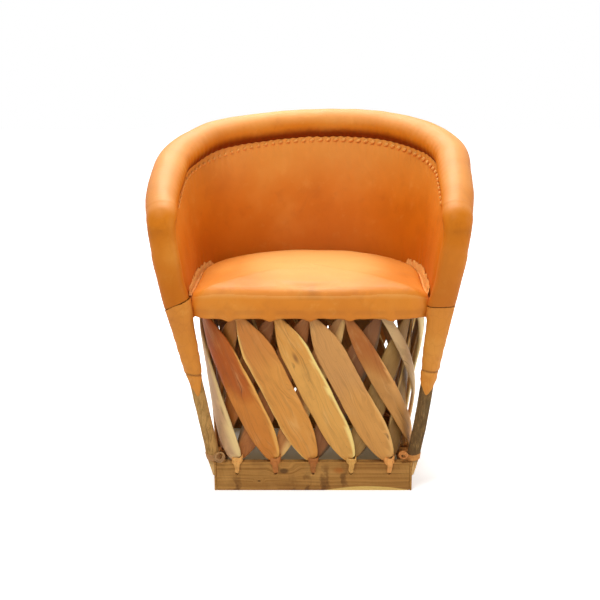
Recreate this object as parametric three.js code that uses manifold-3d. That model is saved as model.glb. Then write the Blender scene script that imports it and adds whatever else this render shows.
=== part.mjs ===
// Barrel chair of the equipal kind: a lattice drum of split slats tied to four boards, a hide seat
// on a bent hoop, and a tub back of leather panels under one padded roll.
// Millimetres, Z up, the front of the chair towards -Y. Every place is measured from the middle of
// the base, and the whole chair is moved at the end so that its own middle stands on the origin.
import * as THREE from "three";
import { mergeVertices } from "three/addons/utils/BufferGeometryUtils.js";
import Module from "manifold-3d";

const wasm = await Module();
wasm.setup();

// Sizes shared by the whole chair
const seatedGap = 0.3;
const cutOverrun = 4;
const mergeTolerance = 0.02;
const cornerStep = 30;

// Base of four boards
const baseWidth = 406;
const baseDepth = 364;
const boardHeight = 62;
const boardThickness = 17;
const lapTongue = 5;
const thongHole = 7;
const thongHoleDrop = 24;

// Lattice drum
const tieCount = 18;
const tiesCrossed = 2;
const topTieCrowdingShare = 0.15;
const latticeHead = 384;
const slatThickness = 8;
const slatEase = 0.9;
const slatBow = 3.6;
const slatBowPower = 0.5;
const outerSlatWidth = 61;
const innerSlatWidth = 55;
const slatFootWidth = 16;
const slatHeadWidth = 27;
const slatFootTaper = 95;
const slatHeadTaper = 100;
const boardCornerRadius = 44;
const hoopCornerRadius = 80;
const waistCornerRadius = 88;

// Poles that carry the arms and the back
const poleRadius = 12;
const poleFoot = 26;
const armPoleLean = 0.165;
const armPoleSetback = 17;
const armPoleForwardLean = 0.034;
const backPoleSpread = 115;
const backPoleShare = 0.397;

// Seat
const hoopRadius = 13;
const hoopEase = 1.6;
const lashingThickness = 2.3;
const apronThickness = 3;
const apronDepth = 47.2;
const apronCornerRadius = 40;
const webbingThickness = 3;
const padHeight = 24.5;
const padCrownShare = 0.42;

// Tub wall: its foot at the seat, its head along the padded rail
const wallFoot = 400;
const wallOverhang = 68;
const wallHalfThickness = 24;
const hideThickness = 3;
const innerHideFoot = 405;
const outerHideFoot = 386;
const railHalfWidth = 298;
const railRake = 53;
const railFrontHeight = 572;
const railShoulderHeight = 667;
const railBackHeight = 698;
const railShoulderLift = 8;
const railFlareLength = 120;
const tubCornerShare = 0.92;

// Padded roll and the arm covers under its ends
const rollRadius = 32;
const railCoreRadius = 11;
const noseLength = 22;
const noseSetback = 14;
const railDroop = 0.36;
const postHalfWidth = 24;
const postTopHalfWidth = 29;
const postHalfDepth = 18;
const postLead = 4;
const coverFoot = 392;
const coverMeetShare = 0.75;
const sleeveFoot = 268;
const sleeveFootWall = 2.3;

// Thongs
const thongThickness = 2.5;
const thongHalfWidth = 4.5;
const railStitchPitch = 36;
const seatStitchPitch = 40;
const stitchRadius = 1.6;

// Colours
const leather = finish(0xd9822f, 0.5);
const rollLeather = finish(0xe39440, 0.46);
const heartwood = finish(0xc98b45, 0.7);
const palewood = finish(0xd8a765, 0.72);
const boardwood = finish(0xa5763c, 0.78);
const bark = finish(0x6a5639, 0.92);
const rawhide = finish(0xe8a860, 0.6);
const reed = finish(0xb99a62, 0.8);

function finish(color, roughness) {
  return new THREE.MeshStandardMaterial({ color, roughness, metalness: 0, flatShading: true });
}

// Shape helpers: lofts, sweeps and the joining and cutting of solids
function mix(from, to, share) {
  return from + (to - from) * share;
}

function capTriangles(ring) {
  const normal = new THREE.Vector3();
  ring.forEach((point, i) => {
    const next = ring[(i + 1) % ring.length];
    normal.add(new THREE.Vector3().crossVectors(point, next));
  });
  const sizes = [Math.abs(normal.x), Math.abs(normal.y), Math.abs(normal.z)];
  const dropped = sizes.indexOf(Math.max(...sizes));
  const kept = ["x", "y", "z"].filter((axis, i) => i !== dropped);
  const flat = ring.map((point) => new THREE.Vector2(point[kept[0]], point[kept[1]]));
  return THREE.ShapeUtils.triangulateShape(flat, []).map((face) => [...face].sort((a, b) => a - b));
}

function facingOut(positions, index) {
  const corner = (i) => new THREE.Vector3().fromArray(positions, 3 * index[i]);
  let volume = 0;
  for (let i = 0; i < index.length; i += 3) {
    volume += corner(i).dot(corner(i + 1).cross(corner(i + 2)));
  }
  return volume < 0 ? [...index].reverse() : index;
}

function loft(rings, closed = false) {
  const count = rings[0].length;
  const positions = rings.flat().flatMap((point) => point.toArray());
  const index = [];
  const spans = closed ? rings.length : rings.length - 1;
  for (let ring = 0; ring < spans; ring++) {
    const here = ring * count;
    const there = ((ring + 1) % rings.length) * count;
    for (let c = 0; c < count; c++) {
      const d = (c + 1) % count;
      index.push(here + c, here + d, there + d, here + c, there + d, there + c);
    }
  }
  if (!closed) {
    const last = (rings.length - 1) * count;
    capTriangles(rings[0]).forEach(([a, b, c]) => index.push(c, b, a));
    capTriangles(rings.at(-1)).forEach(([a, b, c]) => index.push(last + a, last + b, last + c));
  }
  const geometry = new THREE.BufferGeometry();
  geometry.setAttribute("position", new THREE.Float32BufferAttribute(positions, 3));
  geometry.setIndex(facingOut(positions, index));
  return geometry;
}

// A section's first axis points the station's way, and its second axis is square to it and the run.
function sweep(stations, sectionAt, closed = false) {
  const count = stations.length;
  const rings = stations.map(({ centre, outward }, i) => {
    const before = closed ? stations[(i + count - 1) % count] : stations[Math.max(i - 1, 0)];
    const after = closed ? stations[(i + 1) % count] : stations[Math.min(i + 1, count - 1)];
    const run = after.centre.clone().sub(before.centre).normalize();
    const first = outward.clone().addScaledVector(run, -outward.dot(run)).normalize();
    const second = new THREE.Vector3().crossVectors(first, run);
    return sectionAt(i).map(([a, b]) =>
      centre.clone().addScaledVector(first, a).addScaledVector(second, b),
    );
  });
  return loft(rings, closed);
}

function roundSection(halfWidth, halfDepth, sides, squareness = 1) {
  const soften = (value) => Math.sign(value) * Math.abs(value) ** squareness;
  return Array.from({ length: sides }, (_, i) => {
    const turn = (2 * Math.PI * (i + 0.5)) / sides;
    return [halfWidth * soften(Math.cos(turn)), halfDepth * soften(Math.sin(turn))];
  });
}

function flatSection(halfWidth, halfHeight) {
  return [
    [-halfWidth, -halfHeight],
    [halfWidth, -halfHeight],
    [halfWidth, halfHeight],
    [-halfWidth, halfHeight],
  ];
}

function solidOf(geometry) {
  const bare = geometry.clone();
  bare.deleteAttribute("normal");
  bare.deleteAttribute("uv");
  const merged = mergeVertices(bare);
  const vertProperties = merged.attributes.position.array;
  const triVerts = new Uint32Array(merged.index.array);
  return new wasm.Manifold(new wasm.Mesh({ numProp: 3, vertProperties, triVerts }));
}

function geometryOf(solid) {
  const mesh = solid.asOriginal().simplify(mergeTolerance).getMesh();
  const geometry = new THREE.BufferGeometry();
  geometry.setAttribute("position", new THREE.BufferAttribute(mesh.vertProperties, 3));
  geometry.setIndex(new THREE.BufferAttribute(mesh.triVerts, 1));
  return geometry;
}

function joined(geometries) {
  return geometryOf(geometries.map(solidOf).reduce((whole, piece) => whole.add(piece)));
}

function cut(geometry, tools) {
  return geometryOf(tools.map(solidOf).reduce((whole, tool) => whole.subtract(tool), solidOf(geometry)));
}

// A box between two corners, in the axes of a place: along, outward and up
function block([x0, x1], [y0, y1], [z0, z1], place = new THREE.Matrix4()) {
  const box = new THREE.BoxGeometry(x1 - x0, y1 - y0, z1 - z0);
  return box.translate((x0 + x1) / 2, (y0 + y1) / 2, (z0 + z1) / 2).applyMatrix4(place);
}

const chair = new THREE.Group();

function addPiece(name, geometry, material) {
  geometry.computeVertexNormals();
  const mesh = new THREE.Mesh(geometry, material);
  mesh.name = name;
  chair.add(mesh);
  return mesh;
}

// Plan outlines: a rounded rectangle that runs anticlockwise from the middle of its front
function outline({ halfWidth, front, rear, frontRadius, rearRadius }) {
  const frontX = halfWidth - frontRadius;
  const rearX = halfWidth - rearRadius;
  const quarter = Math.PI / 2;
  const path = new THREE.Path();
  path.moveTo(0, front);
  path.lineTo(frontX, front);
  path.absarc(frontX, front + frontRadius, frontRadius, -quarter, 0);
  path.absarc(rearX, rear - rearRadius, rearRadius, 0, quarter);
  path.absarc(-rearX, rear - rearRadius, rearRadius, quarter, 2 * quarter);
  path.absarc(-frontX, front + frontRadius, frontRadius, 2 * quarter, 3 * quarter);
  path.lineTo(0, front);
  return path;
}

function onPath(path, share) {
  const point = path.getPoint(share);
  const along = path.getTangent(share);
  return { point, outward: new THREE.Vector2(along.y, -along.x) };
}

// Shares of a plan outline at which its straight runs end, with even steps round its corners
function cornerShares(path) {
  const ends = path.getCurveLengths();
  return path.curves.flatMap((curve, i) => {
    const start = i ? ends[i - 1] : 0;
    const steps = curve.isEllipseCurve ? Math.ceil(curve.xRadius / cornerStep) + 2 : 1;
    return Array.from({ length: steps }, (_, k) => mix(start, ends[i], k / steps) / ends.at(-1));
  });
}

function ringStations(path, height, shares, offset = 0) {
  return shares.map((share) => {
    const { point, outward } = onPath(path, share);
    point.addScaledVector(outward, offset);
    return {
      centre: new THREE.Vector3(point.x, point.y, height),
      outward: new THREE.Vector3(outward.x, outward.y, 0),
    };
  });
}

// Arm poles: straight, leaning out and a little forward, notched over the corner of the base
function armPoleAxis(side, height) {
  const climb = height - boardHeight;
  return new THREE.Vector3(
    side * (baseWidth / 2 + armPoleLean * climb),
    -(baseDepth / 2 - armPoleSetback) - armPoleForwardLean * climb,
    height,
  );
}

function postCentre(side, height) {
  return armPoleAxis(side, height).add(new THREE.Vector3(0, -postLead, 0));
}

// Tub wall: ruled between its foot at the seat and its head along the rail
function tubPlan(halfWidth, front, rear) {
  const radius = halfWidth * tubCornerShare;
  const path = new THREE.Path();
  path.moveTo(halfWidth, front);
  path.lineTo(halfWidth, rear - radius);
  path.absarc(halfWidth - radius, rear - radius, radius, 0, Math.PI / 2);
  path.absarc(radius - halfWidth, rear - radius, radius, Math.PI / 2, Math.PI);
  path.lineTo(-halfWidth, front);
  return path;
}

const wallFootRear = baseDepth / 2 + wallOverhang;
const railRear = wallFootRear + railRake;
const postBack = postHalfDepth - postLead + seatedGap;
const footHalfWidth = armPoleAxis(1, wallFoot).x;
const footFront = armPoleAxis(1, wallFoot).y + postBack;
const headFront = armPoleAxis(1, railFrontHeight).y + postBack;
const railFlare = railHalfWidth - armPoleAxis(1, railFrontHeight).x;
const footPath = tubPlan(footHalfWidth, footFront, wallFootRear);
const headPath = tubPlan(railHalfWidth, headFront, railRear);

function railHeight(share) {
  const way = 1 - Math.abs(2 * share - 1);
  const rise = 4 * railShoulderHeight - 3 * railFrontHeight - railBackHeight;
  const settle = 2 * railFrontHeight + 2 * railBackHeight - 4 * railShoulderHeight;
  const side = Math.sign(0.5 - share);
  const lift = side * railShoulderLift * Math.sin(Math.PI * way);
  return railFrontHeight + rise * way + settle * way ** 2 + lift;
}

function wallStation(share, height, offset = 0) {
  const foot = onPath(footPath, share);
  const head = onPath(headPath, share);
  const nearFront = Math.max(0, 1 - (head.point.y - headFront) / railFlareLength);
  head.point.x -= Math.sign(head.point.x) * railFlare * nearFront ** 2;
  const level = (height - wallFoot) / (railHeight(share) - wallFoot);
  const plan = foot.point.clone().lerp(head.point, level);
  const normal = foot.outward.clone().lerp(head.outward, level).normalize();
  plan.addScaledVector(normal, offset);
  return {
    centre: new THREE.Vector3(plan.x, plan.y, height),
    outward: new THREE.Vector3(normal.x, normal.y, 0),
  };
}

// Seat outlines, each set inside the one that it touches
const tubInnerFace = footHalfWidth - wallHalfThickness;
const apronCentre = seatedGap + apronThickness / 2;
const apronShape = {
  halfWidth: tubInnerFace - apronCentre,
  front: postCentre(1, wallFoot).y - postHalfDepth + apronThickness / 2,
  rear: wallFootRear - wallHalfThickness - apronCentre,
  frontRadius: apronCornerRadius,
  rearRadius: (tubInnerFace - apronCentre) * tubCornerShare,
};
const hoopInset = apronThickness / 2 + hoopEase + lashingThickness + hoopRadius;
const hoopShape = {
  halfWidth: apronShape.halfWidth - hoopInset,
  front: apronShape.front + hoopInset,
  rear: apronShape.rear - hoopInset,
  frontRadius: hoopCornerRadius,
  rearRadius: (apronShape.halfWidth - hoopInset) * tubCornerShare,
};
const hoopHeight = latticeHead + seatedGap + hoopRadius;
const hoopTop = hoopHeight + hoopRadius;
const lashingTop = hoopTop + seatedGap + lashingThickness;
const webbingFoot = lashingTop + seatedGap;
const padFoot = webbingFoot + webbingThickness + seatedGap;

// Base boards: front and rear boards lap over the ends of the side boards
const boardMiddle = boardThickness / 2;
const longBoardHalf = baseWidth / 2 - lapTongue;
const latticeFoot = boardHeight + seatedGap;

function latticeLevel(rise) {
  const waist = Math.sin(Math.PI * rise);
  const ease = waist * (waistCornerRadius - (boardCornerRadius + hoopCornerRadius) / 2);
  return outline({
    halfWidth: mix(baseWidth / 2 - boardMiddle, hoopShape.halfWidth, rise),
    front: mix(boardMiddle - baseDepth / 2, hoopShape.front, rise),
    rear: mix(baseDepth / 2 - boardMiddle, hoopShape.rear, rise),
    frontRadius: mix(boardCornerRadius, hoopCornerRadius, rise) + ease,
    rearRadius: mix(boardCornerRadius, hoopShape.rearRadius, rise) + ease / 2,
  });
}

function wrapped(share) {
  return share - Math.floor(share);
}

function footTie(tie) {
  return tie / tieCount;
}

function headTie(tie) {
  return (tie - topTieCrowdingShare * Math.sin((4 * Math.PI * tie) / tieCount)) / tieCount;
}

// The axes of one tie: along the board or hoop, outward, and up from the floor
function tiePlace(share, rise) {
  const { point, outward } = onPath(latticeLevel(rise), wrapped(share));
  const across = new THREE.Vector3(outward.y, -outward.x, 0);
  const out = new THREE.Vector3(outward.x, outward.y, 0);
  const place = new THREE.Matrix4().makeBasis(across, out, new THREE.Vector3(0, 0, 1));
  return place.setPosition(point.x, point.y, 0);
}

const thongHoleHeight = boardHeight - thongHoleDrop;

function thongHoleTool(tie) {
  const reach = boardThickness + 2 * cutOverrun;
  const hole = new THREE.CylinderGeometry(thongHole / 2, thongHole / 2, reach, 8);
  return hole.translate(0, 0, thongHoleHeight).applyMatrix4(tiePlace(footTie(tie), 0));
}

function longBoard(end, clearance) {
  const face = baseDepth / 2;
  const depth = [face - boardThickness - clearance, face + clearance];
  const run = end < 0 ? [-depth[1], -depth[0]] : depth;
  const half = longBoardHalf + clearance;
  return block([-half, half], run, [-clearance, boardHeight + clearance]);
}

function sideBoard(side, clearance) {
  const face = baseWidth / 2;
  const depth = [face - boardThickness - clearance, face + clearance];
  const run = side < 0 ? [-depth[1], -depth[0]] : depth;
  const half = baseDepth / 2 + clearance;
  return block(run, [-half, half], [-clearance, boardHeight + clearance]);
}

const boardTies = {
  front_board: [-2, -1, 0, 1, 2],
  right_side_board: [3, 4, 5, 6],
  rear_board: [7, 8, 9, 10, 11],
  left_side_board: [12, 13, 14, 15],
};
const boardHoles = (name) => boardTies[name].map(thongHoleTool);
const laps = [longBoard(-1, seatedGap), longBoard(1, seatedGap)];
addPiece("front_board", cut(longBoard(-1, 0), boardHoles("front_board")), boardwood);
addPiece("rear_board", cut(longBoard(1, 0), boardHoles("rear_board")), boardwood);
addPiece("right_side_board", cut(sideBoard(1, 0), [...laps, ...boardHoles("right_side_board")]), boardwood);
addPiece("left_side_board", cut(sideBoard(-1, 0), [...laps, ...boardHoles("left_side_board")]), boardwood);

// Slats: leaf-ended planks that follow the drum from a foot tie to a head tie two ties further on
const slatStationShares = [0, 0.06, 0.15, 0.28, 0.43, 0.58, 0.72, 0.85, 0.94, 1];
const slatWidthShares = [1, 0.96, 1, 0.93, 0.98, 0.95];

function slatHalfWidth(fromFoot, fromHead, width) {
  const grow = (distance, taper, power) =>
    Math.sin((Math.min(distance / taper, 1) * Math.PI) / 2) ** power;
  const foot = mix(slatFootWidth, width, grow(fromFoot, slatFootTaper, 1.6));
  const head = mix(slatHeadWidth, width, grow(fromHead, slatHeadTaper, 1.3));
  return Math.min(foot, head) / 2;
}

function slat(footShare, headShare, layer, width) {
  const climb = latticeHead - latticeFoot;
  const sideways = (headShare - footShare) * latticeLevel(0.5).getLength();
  const length = Math.hypot(climb, sideways);
  const lean = sideways / length;
  const upright = climb / length;
  const footRise = (Math.abs(lean) * slatFootWidth) / 2 / climb;
  const headRise = 1 - (Math.abs(lean) * slatHeadWidth) / 2 / climb;
  const rings = slatStationShares.map((way) => {
    const half = slatHalfWidth(way * length, (1 - way) * length, width);
    const near = slatEase / 2 + slatBow * Math.sin(Math.PI * way) ** slatBowPower;
    const point = (edge, depth) => {
      const rise = mix(footRise, headRise, way) - (edge * half * lean) / climb;
      const level = latticeLevel(rise);
      const share = mix(footShare, headShare, way) + (edge * half * upright) / level.getLength();
      const { point: plan, outward } = onPath(level, wrapped(share));
      plan.addScaledVector(outward, layer * (near + depth));
      return new THREE.Vector3(plan.x, plan.y, mix(latticeFoot, latticeHead, rise));
    };
    return [
      ...[-1, 0, 1].map((edge) => point(edge, slatThickness)),
      ...[1, 0, -1].map((edge) => point(edge, 0)),
    ];
  });
  return loft(rings);
}

for (let tie = 0; tie < tieCount; tie++) {
  const number = String(tie + 1).padStart(2, "0");
  const share = slatWidthShares[tie % slatWidthShares.length];
  const outer = slat(footTie(tie + tiesCrossed), headTie(tie), 1, outerSlatWidth * share);
  const inner = slat(footTie(tie), headTie(tie + tiesCrossed), -1, innerSlatWidth * share);
  addPiece(`outer_slat_${number}`, outer, heartwood);
  addPiece(`inner_slat_${number}`, inner, palewood);
}

// Rail stations: a rounded nose over each arm post, then back along the arms and round the back
const wallSteps = 24;
const railShares = Array.from({ length: wallSteps + 1 }, (_, i) => i / wallSteps);
const noseTurns = [0.42, 0.3, 0.16, 0].map((share) => share * Math.PI);

function noseStation(share, turn) {
  const reach = noseSetback + noseLength * Math.sin(turn);
  const { centre, outward } = wallStation(share, railFrontHeight);
  centre.add(new THREE.Vector3(0, -reach, -reach * railDroop));
  return { centre, outward, girth: Math.cos(turn) };
}

const railStations = [
  ...noseTurns.map((turn) => noseStation(0, turn)),
  ...railShares.map((share) => ({ ...wallStation(share, railHeight(share)), girth: 1 })),
  ...noseTurns.toReversed().map((turn) => noseStation(1, turn)),
];

function roll(clearance) {
  return sweep(railStations, (i) => {
    const radius = rollRadius * railStations[i].girth + clearance;
    return roundSection(radius, radius, 10);
  });
}

function railCore(clearance) {
  const section = roundSection(railCoreRadius + clearance, railCoreRadius + clearance, 6);
  const buried = noseTurns.length / 2;
  return sweep(railStations.slice(buried, -buried), () => section);
}

const rollClear = roll(seatedGap);
const coreClear = railCore(seatedGap);
addPiece("rail_core", railCore(0), reed);

// Poles, pared and notched where they meet the outside of the base
const baseClear = block(
  [-baseWidth / 2 - seatedGap, baseWidth / 2 + seatedGap],
  [-baseDepth / 2 - seatedGap, baseDepth / 2 + seatedGap],
  [-seatedGap, boardHeight + seatedGap],
);

function armPole(side, clearance, foot, top) {
  const radius = poleRadius + clearance;
  const stations = [foot, top].map((height) => ({
    centre: armPoleAxis(side, height),
    outward: new THREE.Vector3(side, 0, 0),
  }));
  return sweep(stations, () => roundSection(radius, radius, 12));
}

function backPoleCurve(side) {
  const share = side > 0 ? backPoleShare : 1 - backPoleShare;
  const foot = new THREE.Vector3(side * backPoleSpread, baseDepth / 2 + poleRadius - thongThickness / 2, 0);
  const seat = wallStation(share, wallFoot).centre;
  const head = wallStation(share, railHeight(share)).centre;
  return new THREE.CatmullRomCurve3([foot, seat, head]);
}

function backPole(side, clearance, footWay, headWay) {
  const radius = poleRadius + clearance;
  const curve = backPoleCurve(side);
  const stations = Array.from({ length: 6 }, (_, i) => ({
    centre: curve.getPointAt(mix(footWay, headWay, i / 5)),
    outward: new THREE.Vector3(side, 0, 0),
  }));
  return sweep(stations, () => roundSection(radius, radius, 12));
}

const backPoleLength = backPoleCurve(1).getLength();
const backPoleFootWay = poleFoot / backPoleLength;
const poleTop = railFrontHeight - noseSetback * railDroop - railCoreRadius / 2;

const sideNames = [
  ["right", 1],
  ["left", -1],
];

for (const [name, side] of sideNames) {
  addPiece(`${name}_arm_pole`, cut(armPole(side, 0, poleFoot, poleTop), [baseClear, coreClear]), bark);
  addPiece(`${name}_back_pole`, cut(backPole(side, 0, backPoleFootWay, 1), [baseClear, rollClear]), bark);
}

const poleSockets = [1, -1].map((side) => armPole(side, seatedGap, coverFoot, poleTop + seatedGap));
addPiece("padded_roll", cut(roll(0), [coreClear, ...poleSockets]), rollLeather);

// Seat hoop, the webbing stretched over it, the leather pad and the apron round them
const hoopSection = roundSection(hoopRadius, hoopRadius, 8);
const hoopShares = Array.from({ length: 2 * tieCount }, (_, i) => wrapped(headTie(i / 2)));
const hoopStations = ringStations(outline(hoopShape), hoopHeight, hoopShares);
addPiece("seat_hoop", sweep(hoopStations, () => hoopSection, true), bark);

// Rings of one outline, set out by a distance and drawn in towards the middle by a share
function stack(shape, levels) {
  const path = outline(shape);
  const shares = cornerShares(path);
  const middle = new THREE.Vector3(0, mix(shape.front, shape.rear, padCrownShare), 0);
  const rings = levels.map(([offset, drawnInShare, height]) => {
    middle.setZ(height);
    const stations = ringStations(path, height, shares, offset);
    return stations.map(({ centre }) => centre.lerp(middle, drawnInShare));
  });
  return loft(rings);
}

const webbingOffset = -(apronThickness / 2 + seatedGap);
const webbingLevels = [
  [webbingOffset, 0, webbingFoot],
  [webbingOffset, 0, webbingFoot + webbingThickness],
];
addPiece("seat_webbing", stack(apronShape, webbingLevels), rawhide);

const apronTop = padFoot - seatedGap;
const apronSection = flatSection(apronThickness / 2, apronDepth / 2);
const apronPath = outline(apronShape);
const apronStations = ringStations(apronPath, apronTop - apronDepth / 2, cornerShares(apronPath));
addPiece("seat_apron", sweep(apronStations, () => apronSection, true), leather);

// The pad's profile from its foot to its crown: drawn-in share, then share of its height
const padProfileShares = [
  [0.01, 0],
  [0, 0.1],
  [0, 0.22],
  [0.025, 0.42],
  [0.1, 0.62],
  [0.24, 0.8],
  [0.48, 0.94],
  [0.75, 1],
];
const padLevels = padProfileShares.map(([drawnIn, rise]) => [
  apronThickness / 2,
  drawnIn,
  padFoot + rise * padHeight,
]);
addPiece("seat_pad", stack(apronShape, padLevels), leather);

// Tub hides: thin walls from one arm post round to the other, closed against the roll
function tubHide(outside, foot) {
  const inner = outside ? wallHalfThickness - hideThickness : -wallHalfThickness;
  const outer = inner + hideThickness;
  const rings = railShares.map((share) => {
    const heights = [foot, railHeight(share) - rollRadius / 2];
    return [
      ...heights.map((height) => wallStation(share, height, inner).centre),
      ...heights.reverse().map((height) => wallStation(share, height, outer).centre),
    ];
  });
  return cut(loft(rings), [rollClear]);
}

addPiece("inner_back_hide", tubHide(false, innerHideFoot), leather);
addPiece("outer_back_hide", tubHide(true, outerHideFoot), leather);

// Arm covers: a channel of leather over the front of each arm pole
function coverSection(halfWidth) {
  const corner = postHalfDepth / 2;
  const wall = hideThickness;
  const front = postHalfDepth;
  return [
    [-halfWidth, -front],
    [-halfWidth, front - corner],
    [corner - halfWidth, front],
    [halfWidth - corner, front],
    [halfWidth, front - corner],
    [halfWidth, -front],
    [halfWidth - wall, -front],
    [halfWidth - wall, front - corner - wall / 2],
    [halfWidth - corner - wall / 2, front - wall],
    [corner + wall / 2 - halfWidth, front - wall],
    [wall - halfWidth, front - corner - wall / 2],
    [wall - halfWidth, -front],
  ];
}

function armCover(side) {
  const top = railFrontHeight - rollRadius * coverMeetShare;
  const shares = [0, 0.34, 0.67, 1];
  const stations = shares.map((share) => ({
    centre: postCentre(side, mix(coverFoot, top, share)),
    outward: new THREE.Vector3(1, 0, 0),
  }));
  const cover = sweep(stations, (i) => coverSection(mix(postHalfWidth, postTopHalfWidth, shares[i])));
  return cut(cover, [rollClear]);
}

// Leg sleeves: tapered leather sheaths that close on the poles below the seat
function legSleeve(side) {
  const top = coverFoot - 2 * seatedGap;
  const footRadius = poleRadius + seatedGap + sleeveFootWall;
  const shares = [0, 0.3, 0.65, 1];
  const stations = shares.map((share) => ({
    centre: armPoleAxis(side, mix(sleeveFoot, top, share)).add(new THREE.Vector3(0, -postLead * share, 0)),
    outward: new THREE.Vector3(1, 0, 0),
  }));
  const sleeve = sweep(stations, (i) => {
    const halfWidth = mix(footRadius, postHalfWidth, shares[i]);
    const halfDepth = mix(footRadius, postHalfDepth, shares[i]);
    return roundSection(halfWidth, halfDepth, 12, mix(1, 0.6, shares[i]));
  });
  return cut(sleeve, [armPole(side, seatedGap, sleeveFoot - cutOverrun, top + cutOverrun)]);
}

for (const [name, side] of sideNames) {
  addPiece(`${name}_arm_cover`, armCover(side), leather);
  addPiece(`${name}_leg_sleeve`, legSleeve(side), leather);
}

// Lower lacing: at each tie a wrap round the two slat feet, and a thong through the board
const wrapEase = 2.3;
const wrapInner = boardMiddle + seatedGap + wrapEase;
const footWrapLift = 2;
const footWrapHeight = 10;
const footWrap = [boardHeight + footWrapLift, boardHeight + footWrapLift + footWrapHeight];
const middleOf = ([low, high]) => (low + high) / 2;
const footWrapHalf = 19;
const latticeRise = (height) => (height - latticeFoot) / (latticeHead - latticeFoot);
const footWrapRise = latticeRise(middleOf(footWrap));

// A band that follows a plan outline on both of its sides and closes beyond the slats' edges
function wrap(path, share, halfWidth, [low, high]) {
  const length = path.getLength();
  const corner = (edge, side, grown) => {
    const reach = edge * (halfWidth + grown * thongThickness);
    const { point, outward } = onPath(path, wrapped(share + reach / length));
    return point.addScaledVector(outward, side * (wrapInner + grown * thongThickness));
  };
  const turns = [...[-1, 0, 1].map((edge) => [edge, -1]), ...[1, 0, -1].map((edge) => [edge, 1])];
  const rings = turns.map(([edge, side]) => {
    const inner = corner(edge, side, 0);
    const outer = corner(edge, side, 1);
    const corners = [[inner, low], [outer, low], [outer, high], [inner, high]];
    return corners.map(([plan, height]) => new THREE.Vector3(plan.x, plan.y, height));
  });
  return loft(rings, true);
}

function footTieThong(tie) {
  const place = tiePlace(footTie(tie), 0);
  const near = boardMiddle + seatedGap + wrapEase / 2;
  const far = wrapInner + thongThickness / 2;
  const across = [-thongHalfWidth, thongHalfWidth];
  const heights = [thongHoleHeight - thongHalfWidth, footWrap[0] + thongThickness];
  const plugHalf = (thongHole / 2 - seatedGap) * Math.SQRT1_2;
  const plugReach = near + thongThickness / 2;
  const plugHeights = [thongHoleHeight - plugHalf, thongHoleHeight + plugHalf];
  return [
    wrap(latticeLevel(footWrapRise), wrapped(footTie(tie)), footWrapHalf, footWrap),
    block(across, [near, far], heights, place),
    block(across, [-far, -near], heights, place),
    block([-plugHalf, plugHalf], [-plugReach, plugReach], plugHeights, place),
  ];
}

const lashingLift = 4;
const lashingHeight = 9;
const lashingHeights = [boardHeight + lashingLift, boardHeight + lashingLift + lashingHeight];

function poleLashing(pole) {
  const band = cut(pole(seatedGap + thongThickness), [pole(seatedGap)]);
  const reach = baseWidth;
  const sheet = (heights) => block([-reach, reach], [-reach, reach], heights);
  return cut(band, [sheet([-reach, lashingHeights[0]]), sheet([lashingHeights[1], reach])]);
}

const strapHeights = [lashingHeights[0] + seatedGap, footWrap[1] - seatedGap];
const mirrored = (side, [near, far]) => (side < 0 ? [-far, -near] : [near, far]);

function tieCentre(tie) {
  return new THREE.Vector3().applyMatrix4(tiePlace(footTie(tie), 0));
}

function armPoleLashing(side) {
  const pole = (clearance) => armPole(side, clearance, poleFoot, boardHeight * 2);
  const poleEdge = armPoleAxis(side, lashingHeights[0]).y + poleRadius;
  const near = poleEdge + seatedGap + thongThickness / 2;
  const wrapEdge = tieCentre(side * 3).y - footWrapHalf;
  const face = baseWidth / 2 + seatedGap;
  return [
    poleLashing(pole),
    block(mirrored(side, [face, face + thongThickness]), [near, wrapEdge], strapHeights),
  ];
}

const lashedPoleShare = 0.4;

function backPoleLashing(side) {
  const pole = (clearance) => backPole(side, clearance, backPoleFootWay, lashedPoleShare);
  const centre = backPoleCurve(side).getPointAt(middleOf(lashingHeights) / backPoleLength);
  const wrapEdge = Math.abs(tieCentre(side > 0 ? 8 : 10).x) + footWrapHalf;
  const bandInside = centre.y - poleRadius - seatedGap - thongThickness / 2;
  const strap = mirrored(side, [wrapEdge, Math.abs(centre.x)]);
  return [
    poleLashing(pole),
    block(strap, [baseDepth / 2 + seatedGap, bandInside], strapHeights),
  ];
}

const lineThickness = 1.5;
const lineHeight = 6;
const lineSection = flatSection(lineThickness / 2, lineHeight / 2);
const lineInset = boardThickness + seatedGap + wrapEase / 2 + thongThickness / 2;
const lineShape = {
  halfWidth: baseWidth / 2 - lineInset,
  front: lineInset - baseDepth / 2,
  rear: baseDepth / 2 - lineInset,
  frontRadius: boardCornerRadius / 2,
  rearRadius: boardCornerRadius / 2,
};
const linePath = outline(lineShape);
const tieNumbers = Array.from({ length: tieCount }, (_, tie) => tie);
const lowerLacing = [
  sweep(ringStations(linePath, thongHoleHeight, cornerShares(linePath)), () => lineSection, true),
  ...tieNumbers.flatMap(footTieThong),
  ...armPoleLashing(1),
  ...armPoleLashing(-1),
  ...backPoleLashing(1),
  ...backPoleLashing(-1),
];
addPiece("lower_lacing", joined(lowerLacing), rawhide);

// Upper lacing: at each tie a wrap round the two slat heads that goes on over the hoop
const headWrapDrop = 5;
const headWrapHeight = 9;
const headWrap = [latticeHead - headWrapDrop - headWrapHeight, latticeHead - headWrapDrop];
const headWrapHalf = 25;
const headWrapRise = latticeRise(middleOf(headWrap));

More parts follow.
